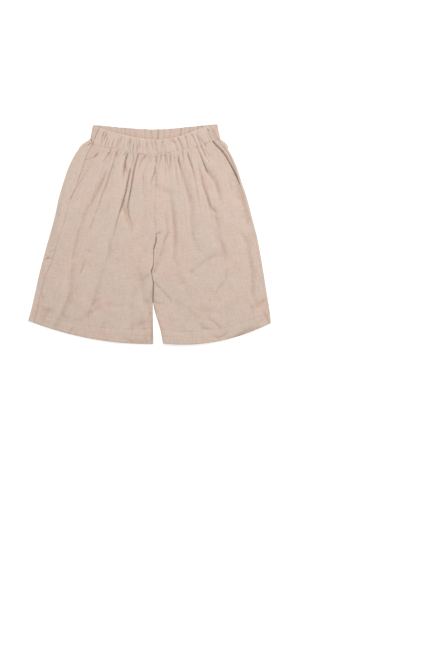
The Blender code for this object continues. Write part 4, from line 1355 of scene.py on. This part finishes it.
def hemp(name, main, crest, rough):
    """Matt hemp: slubby weave, mottled colour, with painted shade in its hollows and the crest
    colour, a painted highlight, on its crests.
    """
    nodes = Nodes(name)
    uv = nodes.uv()
    threads, slub_down, slub_over = weave(nodes, uv)
    slubs = nodes.math("ADD", slub_down, slub_over)
    mottle = nodes.noise(uv, MOTTLE, 3.0, 0.65)
    height = nodes.math("ADD", nodes.math("MULTIPLY", threads, 0.5),
                        nodes.math("MULTIPLY", mottle, 1.2))
    return nodes.finish({
        "Base Color": mottled(nodes, uv, painted_shade_and_highlight(nodes, main, crest), slubs, mottle),
        "Roughness": nodes.ramp(mottle, 0.3, 0.7, rough - 0.05, rough + 0.05),
        "Specular IOR Level": 0.25, "Sheen Weight": 0.12, "Sheen Roughness": 0.6,
        "Normal": nodes.add("ShaderNodeBump", {"Height": height, "Strength": 0.35,
                                               "Distance": 0.0004})})


def thread(name, main):
    """Spun sewing thread, uneven along its length."""
    nodes = Nodes(name)
    ply = nodes.noise(nodes.uv(), SPINNING, 2.0, 0.6)
    shade = nodes.ramp(ply, 0.3, 0.7, 0.88, 1.08)
    grey = nodes.add("ShaderNodeCombineColor", {0: shade, 1: shade, 2: shade})
    return nodes.finish({"Base Color": nodes.tint(color(main), grey), "Sheen Weight": 0.1,
                         "Roughness": nodes.ramp(ply, 0.3, 0.7, 0.6, 0.75)})


def glowing_paper(name):
    """White paper that stays white where the light is weak."""
    return Nodes(name).finish({"Base Color": (0.6, 0.6, 0.6, 1.0), "Roughness": 0.9,
                               "Emission Color": (1.0, 1.0, 1.0, 1.0),
                               "Emission Strength": FLOOR_GLOW})


# ---------------------------------------------------------------- stage

def soft_box(name, centre, azimuth, elevation, distance, size, power):
    """A square soft box, at a compass direction measured from +X towards +Y."""
    light = bpy.data.lights.new(name, "AREA")
    light.size = size
    light.energy = power
    light.color = LIGHT_COLOR
    lamp = bpy.data.objects.new(name, light)
    across = math.cos(math.radians(elevation)) * distance
    lamp.location = (centre[0] + across * math.cos(math.radians(azimuth)),
                     centre[1] + across * math.sin(math.radians(azimuth)),
                     centre[2] + math.sin(math.radians(elevation)) * distance)
    lamp.rotation_euler = (0, math.radians(90 - elevation), math.radians(azimuth))
    bpy.context.scene.collection.objects.link(lamp)


def make_stage(centre):
    """A white floor, a bright sky and one soft box at the upper right."""
    bpy.ops.mesh.primitive_plane_add(size=FLOOR_SIZE, location=tuple(centre))
    floor = bpy.context.object
    floor.name = "floor"
    floor.data.materials.append(glowing_paper("floor_paper"))
    floor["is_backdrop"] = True
    world = bpy.data.worlds.new("sky")
    world.use_nodes = True
    world.node_tree.nodes["Background"].inputs[0].default_value = SKY_COLOR
    world.node_tree.nodes["Background"].inputs[1].default_value = SKY_STRENGTH
    bpy.context.scene.world = world
    soft_box("key", centre, **KEY_LIGHT)
    bpy.context.scene.view_settings.view_transform = "Standard"


def make_camera(centre, unit):
    """Straight above, framed with the garment in the upper left."""
    camera = bpy.data.objects.new("camera", bpy.data.cameras.new("camera"))
    camera.data.sensor_width = SENSOR_WIDTH
    camera.data.lens = LENS
    camera.data.clip_end = 50.0
    camera.location = centre + np.array(CAMERA_PLACE) * unit
    bpy.context.scene.collection.objects.link(camera)
    bpy.context.scene.camera = camera


# ---------------------------------------------------------------- garment

def finish_piece(piece, node):
    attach(piece, "root")
    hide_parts(node)


def make_leg(leg, place, cloth, inside, sewing):
    """One leg: its two panels, its pocket facing and their stitches."""
    front, front_face = make_front(leg, place, cloth)
    back, back_face = make_back(leg, place, cloth)
    facing = make_facing(leg, place, inside)
    finish_piece(front, f"front_{leg['side']}_leg")
    finish_piece(back, f"back_{leg['side']}_leg")
    finish_piece(facing, f"pocket_facing_{leg['side']}")
    lines = [(front_face, hem_line(leg, front_face, FRONT_COLUMNS)),
             (back_face, hem_line(leg, back_face, back_face.shape[1])),
             (front_face, mouth_line(leg, front_face))]
    make_stitches(f"stitches_{leg['side']}_leg", lines, place, sewing)


def make_waistband(place, cloth, inside, sewing):
    """The casing's front and back, and the stitches along its foot."""
    band_front, front_face = make_band_front(place, cloth)
    band_back, back_face = make_band_back(place, inside)
    lines = [(face, casing_line(face)) for face in (front_face, back_face)]
    make_stitches("stitches_waistband", lines, place, sewing)
    finish_piece(band_front, "waistband_front")
    finish_piece(band_back, "waistband_back")


def main():
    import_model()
    low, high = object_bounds()
    place = Place(low, high)
    cloth = hemp("hemp_cloth", CLOTH_COLOR, CREST_HIGHLIGHT_COLOR, 0.9)
    # The inside cloth is a shaded copy of the cloth: painted shade.
    inside = hemp("hemp_inside", SHADED_INSIDE_COLOR, SHADED_INSIDE_COLOR, 0.92)
    sewing = thread("hemp_thread", THREAD_COLOR)
    for side, table, folds in (("right", RIGHT_LEG, RIGHT_FOLDS), ("left", LEFT_LEG, LEFT_FOLDS)):
        make_leg(leg_of(side, table, folds), place, cloth, inside, sewing)
    make_waistband(place, cloth, inside, sewing)
    make_stage(place.origin)
    make_camera(place.origin, place.unit)
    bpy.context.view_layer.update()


main()
